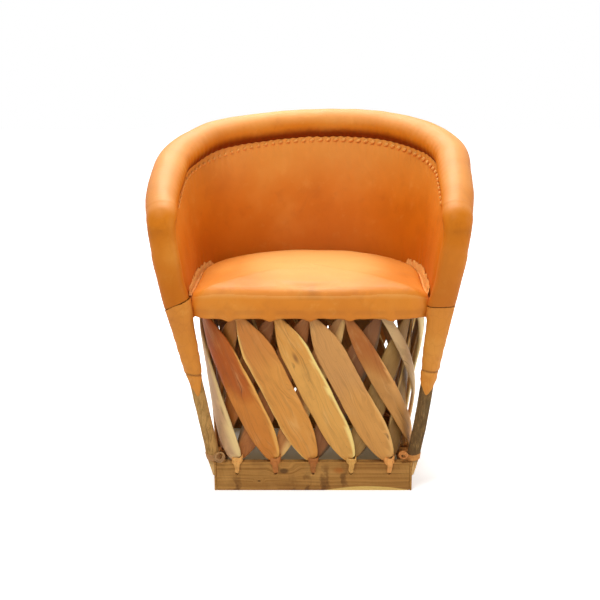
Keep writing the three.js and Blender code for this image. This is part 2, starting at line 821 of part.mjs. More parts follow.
function headTieThong(tie) {
  const place = tiePlace(headTie(tie), 1);
  const foot = wrapInner + thongThickness / 2;
  const inside = hoopRadius + seatedGap;
  const outside = inside + lashingThickness;
  const low = headWrap[0] + seatedGap;
  const high = headWrap[1] - seatedGap;
  const under = hoopTop + seatedGap;
  const half = [
    [outside, low],
    [outside, lashingTop],
    [-outside, lashingTop],
    [-outside, low],
    [-foot, low],
    [-foot, high],
    [-inside, high],
    [-inside, under],
    [inside, under],
    [inside, high],
    [foot, high],
    [foot, low],
  ];
  const profile = new THREE.Shape(half.map(([out, up]) => new THREE.Vector2(out, up)));
  const loop = new THREE.ExtrudeGeometry(profile, { depth: 2 * thongHalfWidth, bevelEnabled: false });
  const axes = new THREE.Matrix4().makeBasis(
    new THREE.Vector3(0, 1, 0),
    new THREE.Vector3(0, 0, 1),
    new THREE.Vector3(1, 0, 0),
  );
  loop.translate(0, 0, -thongHalfWidth).applyMatrix4(axes).applyMatrix4(place);
  return [wrap(latticeLevel(headWrapRise), wrapped(headTie(tie)), headWrapHalf, headWrap), loop];
}

const upperLineOffset = -(wrapInner + thongThickness / 2);
const upperLinePath = latticeLevel(headWrapRise);
const upperLineShares = Array.from({ length: 2 * tieCount }, (_, i) => wrapped(headTie(i / 2)));
const upperLine = ringStations(upperLinePath, middleOf(headWrap), upperLineShares, upperLineOffset);
const upperLacing = [
  sweep(upperLine, () => lineSection, true),
  ...tieNumbers.flatMap(headTieThong),
];
addPiece("upper_lacing", joined(upperLacing), rawhide);

// Whip stitching: one thong that zigzags along a seam on the inner face of the tub
const stitchEase = 1.6;
const seamOffset = -(wallHalfThickness + seatedGap + stitchEase + stitchRadius);

function whipStitch(ends, pitch, heightAt, reach) {
  const seamLength = headPath.getLength() * (ends[1] - ends[0]);
  const turns = 2 * Math.round(seamLength / pitch);
  const section = roundSection(stitchRadius, stitchRadius, 4);
  const stations = Array.from({ length: turns + 1 }, (_, i) => {
    const share = mix(ends[0], ends[1], i / turns);
    const height = heightAt(share) - (i % 2 ? reach : 0);
    return wallStation(share, height, seamOffset);
  });
  return sweep(stations, () => section);
}

const railSeamDrop = 26;
const railStitchReach = 6;
const railSeam = (share) => railHeight(share) - railSeamDrop;
const railSeamShares = [0.08, 0.92];
addPiece("rail_lacing", whipStitch(railSeamShares, railStitchPitch, railSeam, railStitchReach), rawhide);

const seatStitchReach = 8;
const seatSeamRiseShare = 0.45;
const seatSeam = () => padFoot + padHeight * seatSeamRiseShare + seatStitchReach;
const seatSeamShares = [0.02, 0.98];
addPiece("seat_lacing", whipStitch(seatSeamShares, seatStitchPitch, seatSeam, seatStitchReach), rawhide);

// Stand the middle of the chair on the origin
const extent = new THREE.Box3().setFromObject(chair);
const middle = extent.getCenter(new THREE.Vector3());
chair.position.set(-middle.x, -middle.y, -extent.min.z);

const group = new THREE.Group();
group.add(chair);

export default group;
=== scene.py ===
import random
from functools import cached_property, partial
from math import copysign, cos, exp, hypot, pi, radians, sin, sqrt, tau

import bmesh
import bpy
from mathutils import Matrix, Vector, noise


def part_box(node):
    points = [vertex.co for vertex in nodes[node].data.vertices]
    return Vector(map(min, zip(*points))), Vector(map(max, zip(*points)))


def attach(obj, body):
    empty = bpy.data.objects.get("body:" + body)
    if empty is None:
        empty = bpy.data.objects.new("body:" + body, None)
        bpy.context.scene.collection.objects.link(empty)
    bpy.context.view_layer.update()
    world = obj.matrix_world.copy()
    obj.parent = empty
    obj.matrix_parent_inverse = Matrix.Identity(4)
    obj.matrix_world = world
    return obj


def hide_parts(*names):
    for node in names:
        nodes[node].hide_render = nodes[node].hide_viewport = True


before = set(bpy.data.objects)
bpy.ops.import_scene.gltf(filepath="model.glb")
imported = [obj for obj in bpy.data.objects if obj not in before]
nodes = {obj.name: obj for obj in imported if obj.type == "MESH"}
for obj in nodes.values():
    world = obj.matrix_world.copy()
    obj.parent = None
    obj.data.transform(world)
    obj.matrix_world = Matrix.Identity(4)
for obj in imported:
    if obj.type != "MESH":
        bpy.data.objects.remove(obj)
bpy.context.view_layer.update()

# Base boards. Four rough-sawn boards stand on edge and lap at the corners. Each keeps its saw
# marks, knots and dark stains, and has holes for the thongs. The edges are worn round.
mm = 0.001


def tint(*steps):
    """A colour given in the 0 to 255 steps of a colour chart, as the shaders want it."""
    return tuple(((c / 255 + 0.055) / 1.055) ** 2.4 if c > 10 else c / 3295 for c in steps) + (1,)


def held(share):
    """Keeps a share between none and all."""
    return min(max(share, 0), 1)


def worked(operation, reflected=False):
    """One step of shader arithmetic, on sockets and numbers alike."""

    def step(self, *others):
        values = (*others, self) if reflected else (self, *others)
        return self.finish.node("ShaderNodeMath", {"operation": operation}, dict(enumerate(values)))

    return step


class Value:
    """A shader socket that takes part in sums."""

    def __init__(self, finish, socket):
        self.finish = finish
        self.socket = socket

    __add__ = __radd__ = worked("ADD")
    __sub__ = worked("SUBTRACT")
    __rsub__ = worked("SUBTRACT", reflected=True)
    __mul__ = __rmul__ = worked("MULTIPLY")
    __truediv__ = worked("DIVIDE")
    __pow__ = worked("POWER")
    least = worked("MINIMUM")
    most = worked("MAXIMUM")
    wave = worked("SINE")

    def above(self, low, high):
        """0 below low, 1 above high, and a soft step from one to the other."""
        inputs = {"Value": self, "From Min": low, "From Max": high}
        return self.finish.node("ShaderNodeMapRange", {"interpolation_type": "SMOOTHSTEP"}, inputs)

    def below(self, low, high):
        return 1 - self.above(low, high)


class Finish:
    """A material with one Principled shader, or the air of the studio."""

    def __init__(self, name, kind="materials", shader="Principled BSDF"):
        self.owner = getattr(bpy.data, kind).new(name)
        self.owner.use_nodes = True
        self.tree = self.owner.node_tree
        self.shader = self.tree.nodes[shader]

    def feed(self, socket, value):
        if isinstance(value, Value):
            self.tree.links.new(value.socket, socket)
        else:
            socket.default_value = value

    def node(self, kind, settings=None, inputs=None, output=0):
        made = self.tree.nodes.new(kind)
        for key, value in (settings or {}).items():
            setattr(made, key, value)
        for key, value in (inputs or {}).items():
            self.feed(made.inputs[key], value)
        return Value(self, made.outputs[output])

    @cached_property
    def place(self):
        return self.node("ShaderNodeTexCoord", output="Object")

    def spread(self, place, scale):
        """Where a pattern lies: on a place at one scale, or stretched by three."""
        if isinstance(scale, tuple):
            place, scale = self.node("ShaderNodeMapping", inputs={"Vector": place, "Scale": scale}), 1
        return {"Vector": place, "Scale": scale}

    def noise(self, place, scale, detail=3, roughness=0.5, distortion=0.0):
        inputs = {"Detail": detail, "Roughness": roughness, "Distortion": distortion}
        return self.node("ShaderNodeTexNoise", inputs={**self.spread(place, scale), **inputs})

    def cells(self, place, scale, feature="F1"):
        inputs = self.spread(place, scale)
        return self.node("ShaderNodeTexVoronoi", {"feature": feature}, inputs, "Distance")

    @staticmethod
    def ready(colour):
        """Three steps of a colour chart become a tint; anything else is ready as it is."""
        return tint(*colour) if isinstance(colour, tuple) and len(colour) == 3 else colour

    def coats(self, colour, *layers):
        """Lays tones over a colour, one after the other, each by its share."""
        for tone, share in layers:
            inputs = {0: share, 6: self.ready(colour), 7: self.ready(tone)}
            colour = self.node("ShaderNodeMix", {"data_type": "RGBA"}, inputs, 2)
        return colour

    def mark(self, attribute, output="Fac"):
        return self.node("ShaderNodeAttribute", {"attribute_name": attribute}, output=output)

    def joined(self, *parts):
        return self.node("ShaderNodeCombineXYZ", inputs=dict(enumerate(parts)))

    def parts_of(self, place):
        split = self.node("ShaderNodeSeparateXYZ", inputs={"Vector": place}).socket.node
        return [Value(self, socket) for socket in split.outputs]

    def set(self, **values):
        for key, value in values.items():
            self.feed(self.shader.inputs[key.replace("_", " ")], value)

    def bump(self, height, distance, strength=1.0):
        inputs = {"Height": height, "Distance": distance, "Strength": strength}
        self.set(Normal=self.node("ShaderNodeBump", inputs=inputs))


def lean(spot):
    """How far the hand-bent frame has settled to the left at a place: most at the front of the arms."""
    climb = held((spot.z - 130 * mm) / (270 * mm))
    ahead = held((160 * mm - spot.y) / (360 * mm))
    return -8.5 * mm * climb * ahead


def shown(name, bm, finish, slot, instead=(), smooth=True):
    """Makes a piece of a bmesh, lets it settle with the frame, dresses it and sets it on the chair."""
    for vert in bm.verts:
        vert.co.x += lean(vert.co)
    mesh = bpy.data.meshes.new(name)
    bm.to_mesh(mesh)
    bm.free()
    piece = bpy.data.objects.new(name, mesh)
    bpy.context.scene.collection.objects.link(piece)
    mesh.polygons.foreach_set("use_smooth", [smooth] * len(mesh.polygons))
    mesh.materials.append(finish.owner)
    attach(piece, "root")
    if instead:
        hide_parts(*instead)
    return piece


def sawn_board(name, along):
    """Rough-sawn wood whose grain runs along one axis, with knots and stains near the front."""
    wood = Finish(name)
    x, y, z = wood.parts_of(wood.place)
    run, side = (x, y) if along == "x" else (y, x)
    bend = wood.noise(wood.place, 9, 2) * 0.012
    heart = 0.0
    for middle, up, size in ((-0.060, 0.043, 0.007), (-0.111, 0.021, 0.0025)):
        away = ((run - middle) ** 2 * 0.35 + (z - up) ** 2) ** 0.5
        bend = bend + away.below(size, size * 3.4) * 0.012
        heart = away.below(size * 0.45, size * 1.1) + heart
    grain = wood.noise(wood.joined(run * 3.2, (z + bend) * 210, side * 210), 1, 5, 0.62, 0.5)
    fine = wood.noise(wood.joined(run * 22, (z + bend) * 1500, side * 1500), 1, 3)
    blotch = wood.noise(wood.place, 13, 3, 0.6)
    ragged = wood.noise(wood.place, 46, 3, 0.6)
    stain = 0.0
    stains = [(-0.154, 0.006, 0.3), (-0.043, 0.007, 0.3), (-0.0115, 0.007, 0.5)]
    for middle, wide, high in stains + [(0.026, 0.009, 1), (0.064, 0.008, 0.9)]:
        streak = (run - middle + (ragged - 0.5) * 0.03) / wide
        stain = (streak**2).below(0.1, 1.6) * z.below(0.03 * high, 0.03 + 0.05 * high) + stain
    amber = ((run - 0.0515) ** 2 * 0.6 + (z - 0.044) ** 2 * 2) ** 0.5 + (ragged - 0.5) * 0.02
    sapwood = 0.0102 - ((run - 0.112) / 0.098) ** 2 * 0.0102 - z + (blotch - 0.5) * 0.003
    pores = fine.above(0.58, 0.72)
    colour = wood.coats(
        (146, 96, 42),
        ((194, 140, 70), grain.above(0.25, 0.7)),
        ((212, 160, 88), blotch.above(0.5, 0.78) * 0.45),
        ((116, 72, 34), blotch.below(0.22, 0.46) * 0.45),
        ((84, 46, 18), stain.least(1) * ragged.above(0.3, 0.6) * 0.62),
        ((178, 92, 28), amber.below(0.0, 0.013) * 0.6),
        ((238, 198, 112), sapwood.above(0.0, 0.0022) * 0.9),
        ((70, 42, 22), heart.least(1) * 0.75),
        ((74, 46, 22), pores * 0.26),
    )
    saw_marks = (run * 900 + (z - 0.03) * 260 + blotch * 6).wave() * 0.25
    wood.bump(grain * 0.6 + fine * 0.5 - pores * 0.5 + saw_marks + blotch * 0.6, 0.0007, 0.8)
    wood.set(Base_Color=colour, Roughness=0.86 - grain * 0.16, Specular_IOR_Level=0.25)
    return wood


def eased_copy(name):
    """A copy of a CAD board with its corners welded and its arrises, longer than any edge of a
    thong hole, worn round."""
    bm = bmesh.new()
    bm.from_mesh(nodes[name].data)
    bmesh.ops.remove_doubles(bm, verts=bm.verts, dist=0.01 * mm)
    bmesh.ops.dissolve_limit(bm, angle_limit=0.02, verts=bm.verts, edges=bm.edges)
    arrises = [edge for edge in bm.edges if edge.calc_length() > 16.5 * mm]
    wear_and_painted_light = {"offset": 1.3 * mm, "affect": "EDGES", "segments": 2, "profile": 0.5, "material": -1}
    bmesh.ops.bevel(bm, geom=arrises, **wear_and_painted_light)
    return bm


board_grain = {"x": sawn_board("sawn_board_across", "x"), "y": sawn_board("sawn_board_lengthwise", "y")}
for board in ("front_board", "rear_board", "right_side_board", "left_side_board"):
    grain = board_grain["y" if "side" in board else "x"]
    shown(f"sawn_{board}", eased_copy(board), grain, "board_wood", [board], smooth=False)

# Lattice drum. Thirty-six slats, split from logs and shaved to leaf ends, stand in two layers that
# lean opposite ways. Heartwood is red brown, sapwood nearly white, and some keep strips of bark.
front_low, front_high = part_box("front_board")
rear_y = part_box("rear_board")[1].y
middle_y = (front_low.y + rear_y) / 2
board_top = front_high.z
board_wall = front_high.y - front_low.y
base_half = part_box("right_side_board")[1].x
base_deep = (rear_y - front_low.y) / 2
seated = 0.3 * mm
tie_count = 18


def at(x, y, z):
    """A place measured from the middle of the base."""
    return Vector((x, middle_y + y, z))


def lift(z):
    return Vector((0, 0, z))


def mix(first, second, share):
    return first + (second - first) * share


def uneven(x, y, z):
    """Natural unevenness from about -1 to 1, which changes slowly with its three numbers."""
    return noise.noise(Vector((x, y, z)))


def hump(away, width):
    """1 in the middle of a smooth swelling, falling off to both sides."""
    return exp(-((away / width) ** 2))


class Plan:
    """An outline seen from above: straight runs and arcs, followed by a share of its length."""

    def __init__(self, x, y, heading, legs):
        self.legs = []
        for length, turn in legs:
            self.legs.append((x, y, heading, length, turn))
            x, y, heading = self.step(x, y, heading, length, turn, length)
        self.length = sum(leg[3] for leg in self.legs)

    @staticmethod
    def step(x, y, heading, length, turn, way):
        if not turn:
            return x + way * cos(heading), y + way * sin(heading), heading
        radius = length / turn
        later = heading + way / radius
        x += radius * (sin(later) - sin(heading))
        y -= radius * (cos(later) - cos(heading))
        return x, y, later

    def spot(self, share, out=0.0):
        """The point at a share of the outline, set out sideways, and the way that faces out there."""
        way = share * self.length
        for leg in self.legs:
            if way <= leg[3] or leg is self.legs[-1]:
                break
            way -= leg[3]
        x, y, heading = self.step(*leg, way)
        normal = Vector((sin(heading), -cos(heading), 0))
        return at(x, y, 0) + normal * out, normal


def rounded_plan(half, front, rear, front_radius, rear_radius):
    quarter = pi / 2
    turns = [(front_radius * quarter, quarter), (rear_radius * quarter, quarter)]
    front_run = half - front_radius
    side_run = rear - front - front_radius - rear_radius
    legs = [(front_run, 0), turns[0], (side_run, 0), turns[1], (2 * (half - rear_radius), 0)]
    legs += [turns[1], (side_run, 0), turns[0], (front_run, 0)]
    return Plan(0, front, 0, legs)


# The seat's outlines at the head of the drum, from the apron, the hoop and the pad in the frame.
hoop_low, hoop_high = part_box("seat_hoop")
apron_low, apron_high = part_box("seat_apron")
hoop_tube = 13 * mm
hoop_mid_z = (hoop_low.z + hoop_high.z) / 2
apron_half = apron_high.x - 1.5 * mm
apron_front = apron_low.y - middle_y + 1.5 * mm
apron_rear = apron_high.y - middle_y - 1.5 * mm
hoop_inset = (1.5 + 1.6 + 2.3) * mm + hoop_tube
hoop_half = apron_half - hoop_inset
hoop_front = apron_front + hoop_inset
hoop_rear = apron_rear - hoop_inset
slat_foot_z = board_top + seated
slat_head_z = 384 * mm
slat_thick = 8 * mm


def drum(rise):
    """The drum's outline between the boards, at rise 0, and the hoop, at rise 1."""
    ease = sin(pi * held(rise)) * 26 * mm
    return rounded_plan(
        mix(base_half - board_wall / 2, hoop_half, rise),
        mix(board_wall / 2 - base_deep, hoop_front, rise),
        mix(base_deep - board_wall / 2, hoop_rear, rise),
        mix(44 * mm, 80 * mm, rise) + ease,
        mix(44 * mm, hoop_half * 0.92, rise) + ease / 2,
    )


def foot_tie(tie):
    return tie / tie_count


def head_tie(tie):
    return (tie - 0.15 * sin(4 * pi * tie / tie_count)) / tie_count


def skin(across, along, surface):
    """A grid laid over a surface that is given by two shares; edges and poles that meet are welded."""
    bm = bmesh.new()
    bmesh.ops.create_grid(bm, x_segments=across, y_segments=along, size=0.5)
    for vert in bm.verts:
        vert.co = surface(vert.co.x + 0.5, vert.co.y + 0.5)
    bmesh.ops.remove_doubles(bm, verts=bm.verts, dist=0.02 * mm)
    bmesh.ops.recalc_face_normals(bm, faces=bm.faces)
    return bm


def softened(value, power):
    return copysign(abs(value) ** power, value)


def rounded(share, wide=1, high=1):
    """A place on a round section, by a share of the way round it; powers below 1 make it squarer."""
    turn = tau * share
    return softened(cos(turn), wide), softened(sin(turn), high)


def capped(share, along, wide, high):
    """A place on a rounded section that closes to a point at both ends of its piece."""
    return (part * (0 < along < 1) for part in rounded(share, wide, high))


def split_wood(name, pale):
    """Split and shaved wood: grain along the slat, dark veins, tool marks, a pale or barky edge."""
    wood = Finish(name)
    lie = wood.node("ShaderNodeUVMap", {"uv_map": "grain"})
    tone = wood.mark("tone", "Color")
    drift = wood.noise(lie, (14, 4.2, 1), 3, 0.55)
    across, along, _ = wood.parts_of(lie)
    bent = across + (drift - 0.5) * 0.085
    grain = wood.noise(wood.joined(bent * 120, along * 6), 1, 6, 0.62, 0.9)
    fine = wood.noise(wood.joined(bent * 1500, along * 34), 1, 4, 0.65)
    vein = wood.noise(wood.joined(bent * 88, along * 2.6, 7), 1, 2, 0.5)
    patch = wood.noise(lie, (30, 9, 1), 4, 0.62)
    streak = wood.noise(wood.joined(bent * 190, along * 8, 3), 1, 2, 0.5)
    thread = ((vein - 0.5) ** 2).below(0.0, 0.0012) * 0.3
    pores = fine.above(0.6, 0.74)
    rough = wood.cells(lie, (80, 330, 1)).below(0.0, 0.18) * patch.below(0.38, 0.5)
    dark = wood.coats(tone, ((98, 50, 18), 0.6))
    light = wood.coats(tone, ((250, 206, 132), 0.5))
    colour = wood.coats(
        dark,
        (tone, grain.above(0.12, 0.46)),
        (light, grain.above(0.55, 0.82) * (0.5 if pale else 0.4)),
        (light, patch.above(0.52, 0.76) * 0.5),
        (dark, patch.below(0.22, 0.47) * 0.5),
        ((104, 50, 16), wood.cells(lie, (20, 7, 1)).below(0.02, 0.13) * 0.7),
        ((96, 46, 14), streak.above(0.68, 0.76) * patch.above(0.4, 0.6) * 0.75),
        (dark, thread * patch.above(0.3, 0.6)),
        ((92, 48, 18), pores * 0.34),
        ((76, 40, 16), rough * 0.75),
        (wood.mark("edge", "Color"), wood.mark("edge_share")),
    )
    wood.bump(grain * 0.7 + fine * 0.4 - pores * 0.6 - rough * 0.5 - thread * 0.2, 0.0008, 0.9)
    wood.set(Base_Color=colour, Roughness=0.68 - grain * 0.2, Specular_IOR_Level=0.4)
    return wood


heartwood = split_wood("split_heartwood", pale=False)
palewood = split_wood("split_sapwood", pale=True)

# What each slat looks like: the wood's colour, the colour of its edge, which edge shows it
# (-1 the left one, 1 the right one), how far in it comes as a share of the half width, and how
# much narrower than its fellows the slat is.
heart_tones = [(198, 130, 58), (190, 120, 54), (208, 144, 74)]
heart_tones += [(184, 110, 46), (202, 136, 66), (192, 128, 62)]
pale_tones = [(214, 158, 84), (200, 138, 66), (222, 174, 104)]
pale_tones += [(186, 116, 44), (208, 150, 74), (172, 100, 36)]
bark_tone = (98, 70, 38)
sap_tone = (244, 204, 126)
slat_looks = {
    "outer_slat_15": ((220, 176, 128), (240, 206, 140), 1, 0.22, 0.8),
    "outer_slat_16": ((210, 127, 40), (238, 172, 80), 1, 0.06, 1.02),
    "outer_slat_17": ((224, 150, 62), (246, 194, 104), -1, 0.10, 1.06),
    "outer_slat_18": ((230, 166, 78), (255, 222, 132), 1, 0.2, 1.02),
    "outer_slat_01": ((220, 154, 74), (240, 184, 104), 1, 0.10, 1),
    "outer_slat_02": ((198, 136, 64), (228, 164, 88), 1, 0.10, 0.64),
    "outer_slat_03": ((255, 208, 144), (255, 236, 184), 1, 0.5, 0.34),
    "outer_slat_04": ((250, 212, 144), (252, 226, 162), -1, 0.6, 0.6),
    "outer_slat_05": ((172, 132, 76), (246, 214, 148), 1, 0.5, 0.9),
    "inner_slat_18": ((204, 136, 70), (250, 200, 120), 1, 0.6, 0.9),
    "inner_slat_17": ((178, 108, 48), bark_tone, -1, 0.25, 1),
    "inner_slat_01": ((150, 92, 44), bark_tone, 1, 0.3, 1),
    "inner_slat_02": ((170, 128, 64), bark_tone, 1, 0.2, 1),
    "inner_slat_03": ((152, 112, 54), (212, 168, 100), -1, 0.25, 1),
}
# The wood near the head of some slats is darker, or redder, and this much of the slat shows it.
slat_head_tones = {
    "outer_slat_16": ((182, 90, 4), 0.46),
    "outer_slat_17": ((206, 128, 50), 0.26),
    "outer_slat_18": ((220, 150, 62), 0.24),
    "outer_slat_02": ((174, 100, 32), 0.32),
    "outer_slat_01": ((212, 150, 80), 0.5),
}
slat_width_shares = [1, 0.96, 1, 0.93, 0.98, 0.95]


def slat_half(from_foot, from_head, width):
    """Half the width of a slat: blunt towards the foot, and a narrow neck at the head for the lacing."""

    def grow(distance, taper, power):
        return sin(held(distance / taper) * pi / 2) ** power

    foot = mix(16 * mm, width, grow(from_foot, 104 * mm, 0.66))
    head = mix(15 * mm, width, grow(from_head - 13 * mm, 92 * mm, 0.94))
    return min(foot, head) / 2


def slat(name, foot_share, head_share, layer, width, seed):
    """A leaf-ended slat that follows the drum from its foot tie to its head tie."""
    draw = random.Random(seed)
    wobble = [draw.uniform(-1, 1) for _ in range(8)]
    climb = slat_head_z - slat_foot_z
    sideways = (head_share - foot_share) * drum(0.5).length
    length = hypot(climb, sideways)
    slope, upright = sideways / length, climb / length
    foot_rise = abs(slope) * 8.5 * mm / climb
    head_rise = 1 - abs(slope) * 13.5 * mm / climb
    outer = layer > 0
    plain = (draw.choice(heart_tones if outer else pale_tones), draw.choice([sap_tone, bark_tone]))
    plain += (draw.choice((-1, 1)), 0.14, draw.uniform(0.84, 1))
    tone, edge_tone, edge_side, edge_in, narrowed = slat_looks.get(name, plain)
    width *= narrowed

    def surface(u, v):
        way = held((v - 0.012) / 0.976)
        half = slat_half(way * length, (1 - way) * length, width)
        waviness = 0.05 * wobble[0] * sin(5 * way + wobble[1] * 3)
        half *= 1 + waviness + 0.025 * wobble[2] * sin(17 * way + wobble[3])
        half *= 1 + 0.03 * uneven(way * 14, seed, layer)
        end = min(way, 1 - way) * length
        half *= 0.72 + 0.28 * min(end / (9 * mm), 1) ** 0.5
        edge, proud = capped(u, v, 0.45, 0.5)
        dome = (1 - 0.24 * edge * edge) * (0.8 + 0.2 * min(end / (12 * mm), 1))
        near = 0.45 * mm + 3.6 * mm * sqrt(max(sin(pi * way), 0))
        depth = slat_thick * (0.5 + 0.46 * proud * dome)
        depth += 0.35 * mm * uneven(way * 9 + seed, edge * 1.4, layer)
        skew = 0.012 * wobble[4] * sin(pi * way)
        belly = hump(min(way, 0.93) - 0.93, 0.34) * (1 - max(way - 0.93, 0) / 0.14)
        rise = mix(foot_rise, head_rise, way) - edge * half * slope / climb
        plan = drum(rise)
        share = mix(foot_share, head_share, way) + (edge * upright + skew) * half / plan.length
        spot, _ = plan.spot(share % 1, layer * (near + depth))
        bulge = (12 if spot.x > 0 else 7) * mm * belly * (1 if outer else 0.4)
        spot.x += bulge * softened(spot.x / hoop_half, 5)
        return spot + lift(mix(slat_foot_z, slat_head_z, rise))

    def axis(way):
        spot, out = drum(way).spot(mix(foot_share, head_share, way) % 1)
        return spot + lift(mix(slat_foot_z, slat_head_z, way)), out

    bm = skin(20, 34, surface)
    grain = bm.loops.layers.uv.new("grain")
    marks = ("tone", "edge", "edge_share")
    tones, edges, shares = (bm.loops.layers.float_color.new(mark) for mark in marks)
    start = axis(0.02)[0]
    run = (axis(0.98)[0] - start).normalized()
    across = axis(0.5)[1].cross(run).normalized()
    rim = tint(*edge_tone)
    darkened = draw.uniform(0.8, 1)
    head_tone, head_reach = slat_head_tones.get(name, (tuple(darkened * c for c in tone), 0.5))
    for face in bm.faces:
        for loop in face.loops:
            from_start = loop.vert.co - start
            aside, up = from_start.dot(across), from_start.dot(run)
            loop[grain].uv = (aside + 0.37 * seed, up + 0.11 * seed)
            way = up / length + 0.16 * uneven(aside * 26, up * 9, seed + 20)
            headward = held((way - 1 + head_reach) / 0.3 + 0.5)
            headward *= headward * (3 - 2 * headward) / max(headward, 0.001)
            loop[tones] = tint(*(mix(a, b, headward) for a, b in zip(tone, head_tone)))
            loop[edges] = rim
            inward = 1 + edge_side * aside / slat_half(max(up, 0), max(length - up, 0), width)
            ragged = edge_in * (1 + 0.8 * uneven(up * 30, seed, 0))
            fade = held((ragged - inward) / 0.07 + 0.5)
            loop[shares] = (fade, fade, fade, 1)
    finish, slot = (heartwood, "heartwood") if outer else (palewood, "palewood")
    shown(f"split_{name}", bm, finish, slot, [name])


for tie in range(tie_count):
    number = f"{tie + 1:02d}"
    share = slat_width_shares[tie % len(slat_width_shares)]
    wide, narrow = 61 * mm * share, 55 * mm * share
    slat(f"outer_slat_{number}", foot_tie(tie + 2), head_tie(tie), 1, wide, seed=tie)
    slat(f"inner_slat_{number}", foot_tie(tie), head_tie(tie + 2), -1, narrow, seed=tie + 40)

# Poles. Four round branches in their grey-brown bark: two carry the arms and two the back. Each is
# pared to pale wood at the foot, where it is notched over the base and lashed.
pole_foot_z = 26 * mm
# How far the arm poles lean outwards and forwards for each step up.
arm_splay = 0.165
arm_rake = 0.034


def arm_axis(side, z, lead=0.0):
    climb = z - board_top
    ahead = -(base_deep - 17 * mm) - arm_rake * climb - lead
    return at(side * (base_half + arm_splay * climb), ahead, z)


bark = Finish("grey_brown_bark")
pole_x, _, pole_z = bark.parts_of(bark.place)
ridges = bark.noise(bark.place, (210, 210, 46), 6, 0.68, 0.6)
plates = bark.noise(bark.place, (90, 90, 26), 4, 0.62)
specks = bark.noise(bark.place, 420, 3, 0.7)
worn = bark.noise(bark.place, 24, 4, 0.6)
paring = bark.noise(bark.place, (300, 300, 14), 4, 0.6)
pared = (pole_z + (plates - 0.5) * 0.03).below(0.052, 0.066)
bark_colour = bark.coats(
    (138, 100, 52),
    ((202, 154, 88), ridges.above(0.26, 0.62)),
    ((202, 162, 104), plates.above(0.54, 0.76) * 0.6),
    ((150, 132, 78), worn.above(0.56, 0.7) * 0.55),
    # Painted shade: the bark's crevices are painted darker on the chair's right side.
    ((70, 54, 38), pole_x.above(-0.02, 0.02) * ridges.below(0.5, 0.85) * 0.74),
    ((62, 44, 28), specks.above(0.6, 0.72) * 0.5),
    ((212, 186, 140), specks.below(0.26, 0.36) * 0.35),
    (bark.coats((206, 150, 84), ((246, 206, 138), paring.above(0.3, 0.7))), pared),
)
bark.bump(ridges * 1.3 + plates * 0.9 + specks * 0.4, 0.0018, 0.9)
bark.set(Base_Color=bark_colour, Roughness=0.93 - pared * 0.2, Specular_IOR_Level=0.2)


def branch(name, axis, low, high, seed, girth):
    """A branch with slight bends, knots and an oval section, flattened where it meets the base."""

    def surface(u, v):
        way = held((v - 0.004) / 0.992)
        z = mix(low, high, way)
        c, s = rounded(u)
        ring = uneven(c * 1.3, s * 1.3, z * 26 + seed)
        knot = max(uneven(seed + 5, c * 0.8, z * 13) - 0.32, 0)
        radius = girth * (0.98 + 0.06 * ring + 0.28 * knot) * (0 < v < 1)
        radius *= mix(0.66, 1, min(way * (high - low) / (44 * mm), 1))
        spot = axis(z) + Vector((c, s, 0)) * radius
        if z < board_top + 2.5 * mm:
            if "arm" in name:
                spot.x = copysign(max(abs(spot.x), base_half + seated), spot.x)
            else:
                spot.y = max(spot.y, middle_y + base_deep + seated)
        return spot

    shown(f"bark_{name}", skin(24, 110, surface), bark, "bark_wood", [name])


def arm_bow(side, z):
    """The arm poles bow out a little below the sleeves."""
    return arm_axis(side, z) + Vector((side * 2.6 * mm * sin(pi * held(z / (400 * mm))), 0, 0))


arm_rail_z = 561 * mm
sides = {"right": 1, "left": -1}
for side_name, side in sides.items():
    name = f"{side_name}_arm_pole"
    branch(name, partial(arm_bow, side), pole_foot_z, arm_rail_z, seed=3 + side, girth=13.8 * mm)

# Tub wall. Its outline is ruled from the seat, at wall_foot_z, out to the rail. The rail climbs
# from the arms to the back and stands a little higher at the right shoulder, as it was bent by hand.
wall_foot_z = 400 * mm
wall_half = 24 * mm
rail_front_z = 572 * mm
rail_shoulder_z = 667 * mm
rail_back_z = 698 * mm
rail_half = 298 * mm
behind_arm = 14.3 * mm
foot_overhang = 68 * mm
rail_overhang = 121 * mm
foot_half = base_half + arm_splay * (wall_foot_z - board_top)
foot_front = arm_axis(1, wall_foot_z).y - middle_y + behind_arm
head_front = arm_axis(1, rail_front_z).y - middle_y + behind_arm
rail_flare = rail_half - arm_axis(1, rail_front_z).x


def tub_plan(half, front, rear):
    radius = half * 0.92
    quarter = pi / 2
    side_run, turn = (rear - radius - front, 0), (radius * quarter, quarter)
    return Plan(half, front, quarter, [side_run, turn, (2 * (half - radius), 0), turn, side_run])


foot_plan = tub_plan(foot_half, foot_front, base_deep + foot_overhang)
head_plan = tub_plan(rail_half, head_front, base_deep + rail_overhang)


def rail_z(share):
    way = 1 - abs(2 * share - 1)
    rise = 4 * rail_shoulder_z - 3 * rail_front_z - rail_back_z
    settle = 2 * rail_front_z + 2 * rail_back_z - 4 * rail_shoulder_z
    tilt = copysign(8 * mm * sin(pi * way), 0.5 - share)
    return rail_front_z + rise * way + settle * way**2 + tilt


def wall(share, z, out=0.0):
    """A place on the tub wall: its middle at a share of the way round, or set out from it."""
    share = held(share)
    foot, foot_out = foot_plan.spot(share)
    head, head_out = head_plan.spot(share)
    near_front = max(0, 1 - (head.y - middle_y - head_front) / (120 * mm))
    head.x -= copysign(rail_flare, head.x) * near_front**2
    level = (z - wall_foot_z) / (rail_z(share) - wall_foot_z)
    normal = foot_out.lerp(head_out, level).normalized()
    spot = foot.lerp(head, level) + normal * out
    spot.z = z
    return spot, normal


back_pole_share = 0.397


